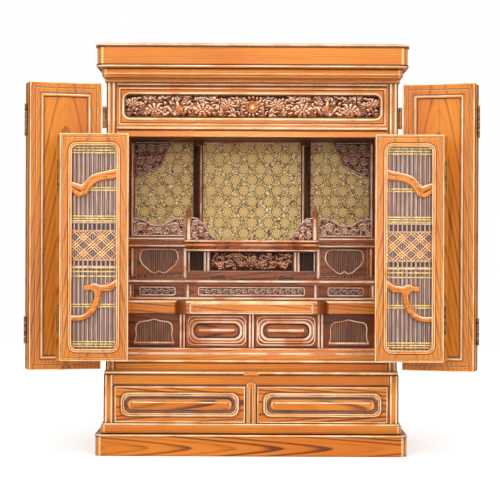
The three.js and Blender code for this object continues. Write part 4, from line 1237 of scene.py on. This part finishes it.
# the pale rim, rings and bar line are painted highlights, the grooves painted shadow
drawerBeads = {
    "big": {"x": (-202.2, -8.3), "z": (47.4, 102.1), "y": -161.6, "inset": 1.6, "rim": 0.8,
            "rings": ((86.0, 16.2, 1.0), (83.0, 13.4, 0.7)),
            "grooves": ((80.6, 11.2, 2.1), (88.6, 18.8, 0.6)),
            "barLine": (70.0, 3.2, 1.2), "corner": 10.5,
            "body": "drawer_SIDE_body", "finish": "case_bead", "slot": "cabinet_wood"},
    "small": {"x": (-100, -5.6), "z": (155.4, 205.4), "y": -86.1, "inset": 3.4, "rim": 9.0,
              "rings": ((41.4, 17.4, 1.1), (37.2, 13.2, 1.9)),
              "grooves": ((39.6, 15.6, 0.9), (33.8, 10.0, 0.9)),
              "barLine": (27.0, 0.8, 2.2), "corner": 11.5,
              "body": "small_drawer_SIDE_body", "finish": "altar_bead", "slot": "altar_wood"},
}


def buildDrawerBeads():
    for kind, size in drawerBeads.items():
        (x0, x1), (z0, z1), y, inset = size["x"], size["z"], size["y"], size["inset"]
        mx, mz = (x0 + x1) / 2, (z0 + z1) / 2

        def ring(half, high, radius, lift):
            corner = min(high - 0.1, size["corner"])
            return loop(mx - half, mx + half, mz - high, mz + high, corner, y + lift, radius, 8)

        strands = [loop(x0 + inset, x1 - inset, z0 + inset, z1 - inset, size["rim"], y, 0.9)]
        strands += [ring(*values, -0.6) for values in size["rings"]]
        half, lift, radius = size["barLine"]
        strands.append(bead([(mx - half, y - 2.6, mz + lift), (mx + half, y - 2.6, mz + lift)], radius))
        grooves = [ring(*values, 0.1) for values in size["grooves"]]
        body, slot = size["body"], size["slot"]
        settlePair(addBeads(strands), kind + "_drawer_beads", beadFinish(size["finish"]), body, slot)
        settlePair(addBeads(grooves), kind + "_drawer_grooves", beadFinish(kind + "_groove"), body, slot)
    print("drawer beads laid")


# each loop is inset, corner, depth, radius, on a leaf of this width, low and high
# beads are painted highlight lines, grooves painted shadow lines
leafBeads = {
    "lattice": {
        "leaf": (99.0, 142.5, 470.4), "name": "lattice_", "body": "inner_", "slot": "lattice_wood",
        "beads": ((0.8, 0.6, 0.5, 0.8), (13.4, 11.2, -0.3, 0.65), (16.7, 8.0, 0.4, 0.65),
                  (0.8, 0.6, 13.5, 0.8)),
        "grooves": ((11.8, 12.4, 0.4, 0.8), (15.2, 9.4, 0.2, 0.7)),
    },
    "outer": {
        "leaf": (107.5, 124.9, 550.5), "name": "door_", "body": "outer_", "slot": "cabinet_wood",
        "beads": ((0.9, 0.6, 0.5, 0.9), (18.4, 0.8, 1.6, 1.1), (0.9, 0.6, 16.5, 0.9),
                  (18.4, 0.8, 15.4, 1.1)),
        "grooves": ((20.6, 0.8, 3.4, 1.3), (15.6, 0.8, 0.4, 0.6), (20.6, 0.8, 13.6, 1.3),
                    (15.6, 0.8, 16.6, 0.6)),
    },
}


def buildLeafBeads():
    for kind, size in leafBeads.items():
        wide, low, high = size["leaf"]
        for tag, finish in (("beads", "case_bead"), ("grooves", "case_groove")):
            for place, leaf in eachLeaf(kind):
                piece = addBeads([
                    loop(inset, wide - inset, low + inset, high - inset, corner, y, radius)
                    for inset, corner, y, radius in size[tag]
                ])
                name = size["name"] + tag + "_" + leaf
                settle(shifted(piece, place), name, beadFinish(finish), size["body"] + leaf, size["slot"])
    print("leaf beads laid")


foldKnuckles = {
    "outer": {"spans": ((163.5, 204.0), (470.5, 519.0)), "lean": (2.0, -2.6), "body": "outer_a_SIDE"},
    "lattice": {"spans": ((182.0, 224.0), (392.0, 433.5)), "lean": (4.0, 2.3), "body": "inner_a_SIDE"},
}


def buildKnuckles():  # the folding hinges between the two leaves of each door, clear of both
    radius, count, gap = 2.2, 4, 0.4
    for kind, size in foldKnuckles.items():
        axis = Vector(joints[kind + "_fold_left"]["pos_m"]) / mm
        lean = leafPlace(kind, False).to_3x3() @ Vector((*size["lean"], 0))
        x, y = axis.x + lean.x, axis.y + lean.y
        strands = []
        for z0, z1 in size["spans"]:
            step = (z1 - z0) / count
            strands += [
                bead([(x, y, z0 + i * step + gap), (x, y, z0 + (i + 1) * step - gap)], radius)
                for i in range(count)
            ]
        finish = finishFor("aged_brass", agedBrass)
        settlePair(addBeads(strands, 3), kind + "_fold_knuckle", finish, size["body"], "hinge_brass")
    print("fold hinges fitted")


def bowLine(z, forward, radius):  # along the bowed front of the altar shelf
    points = []
    for i in range(25):
        x = -104 + 208 * i / 24
        points.append((x, -26 - 24 * math.cos(math.radians(x / 106 * 90)) ** 0.7 - forward, z))
    return bead(points, radius)


# the pale beads are painted highlight lines, the column strips painted shadow and the shelf reed a painted
# highlight
altarBeads = {
    # x, depth, low, high, radius
    "posts": ((-198.4, 135.4, 324, 479, 1.9), (-84.4, 130.6, 320, 483, 1.4), (-98.6, -25.6, 319, 352, 2.6),
              (-187.0, -15.0, 260, 306, 1.9), (-104.6, -15.0, 260, 306, 2.1), (-98.6, -4.0, 258, 300, 1.0),
              (-68.5, -7.4, 270, 300, 1.7), (-73.6, -7.4, 270, 300, 1.7),
              (-186.5, -58.6, 230.5, 249.5, 1.9), (-98.4, -58.6, 230.5, 249.5, 1.8),
              (-107.7, -87.8, 155, 205.6, 1.6), (-102.4, -87.8, 155, 205.6, 1.6),
              (-199.6, -86.0, 155, 205.6, 1.0), (-2.4, -87.6, 155, 205.6, 1.5)),
    # half width, depth, height, radius
    "rails": ((202.0, 155.6, 481.8, 1.7), (202.0, -62.4, 254.8, 1.5), (202.0, -67.6, 228.6, 1.5),
              (202.0, -121.4, 147.6, 1.7), (202.0, -103.8, 153.6, 1.1)),
    "sideRails": ((-203, -104, -38.6, 320.6, 1.2), (-203, -104, -38.6, 309.4, 0.9)),
    "strips": ((-172, -118), (-81.5, 81.5), (118, 172)), "stripRim": (233.4, 245.4, 2.4, -55.4, 0.8, 3),
    "shelfLines": ((317.2, 0.4, 1.3), (302.8, 0.2, 1.1)),
    "shelfReed": (311.0, 0.6, 1.9), "columnReturns": (94.0, 138.4, 324, 483, 3.2),
    "endRails": (202.5, 113, -93.2, 224.6, 1.7), "middleRail": (99, -112.4, 224.8, 1.7),
    "railPanel": (-92.4, 92.4, 208.0, 222.2, 2.4, -113.0, 1.0, 3),
}


def buildAltarBeads():
    size = altarBeads
    strands = [strand for values in size["posts"] for strand in upright(*values)]
    strands += [across(*values) for values in size["rails"]]
    strands += [strand for values in size["sideRails"] for strand in level(*values)]
    strands += [loop(*ends, *size["stripRim"]) for ends in size["strips"]]
    strands += [bowLine(*values) for values in size["shelfLines"]]
    settle(addBeads(strands), "altar_beads", beadFinish("altar_bead"))
    # dark strips beside the columns: painted shadow
    settle(addBeads(upright(*size["columnReturns"])), "column_returns", beadFinish("dark_return"))
    # a painted highlight along the shelf's bowed front
    settle(addBeads([bowLine(*size["shelfReed"])]), "shelf_reed", beadFinish("shelf_reed"))
    rail = level(*size["endRails"]) + [across(*size["middleRail"]), loop(*size["railPanel"])]
    settle(addBeads(rail), "rail_beads", beadFinish("case_bead"))
    print("altar beads laid")


setUpStudio()
dressCabinet()
buildLattices()
buildTransom()
buildDaisRelief()
buildStrips()
buildFretwork()
buildWindows()
buildCaseBeads()
buildDrawerBeads()
buildLeafBeads()
buildKnuckles()
buildAltarBeads()
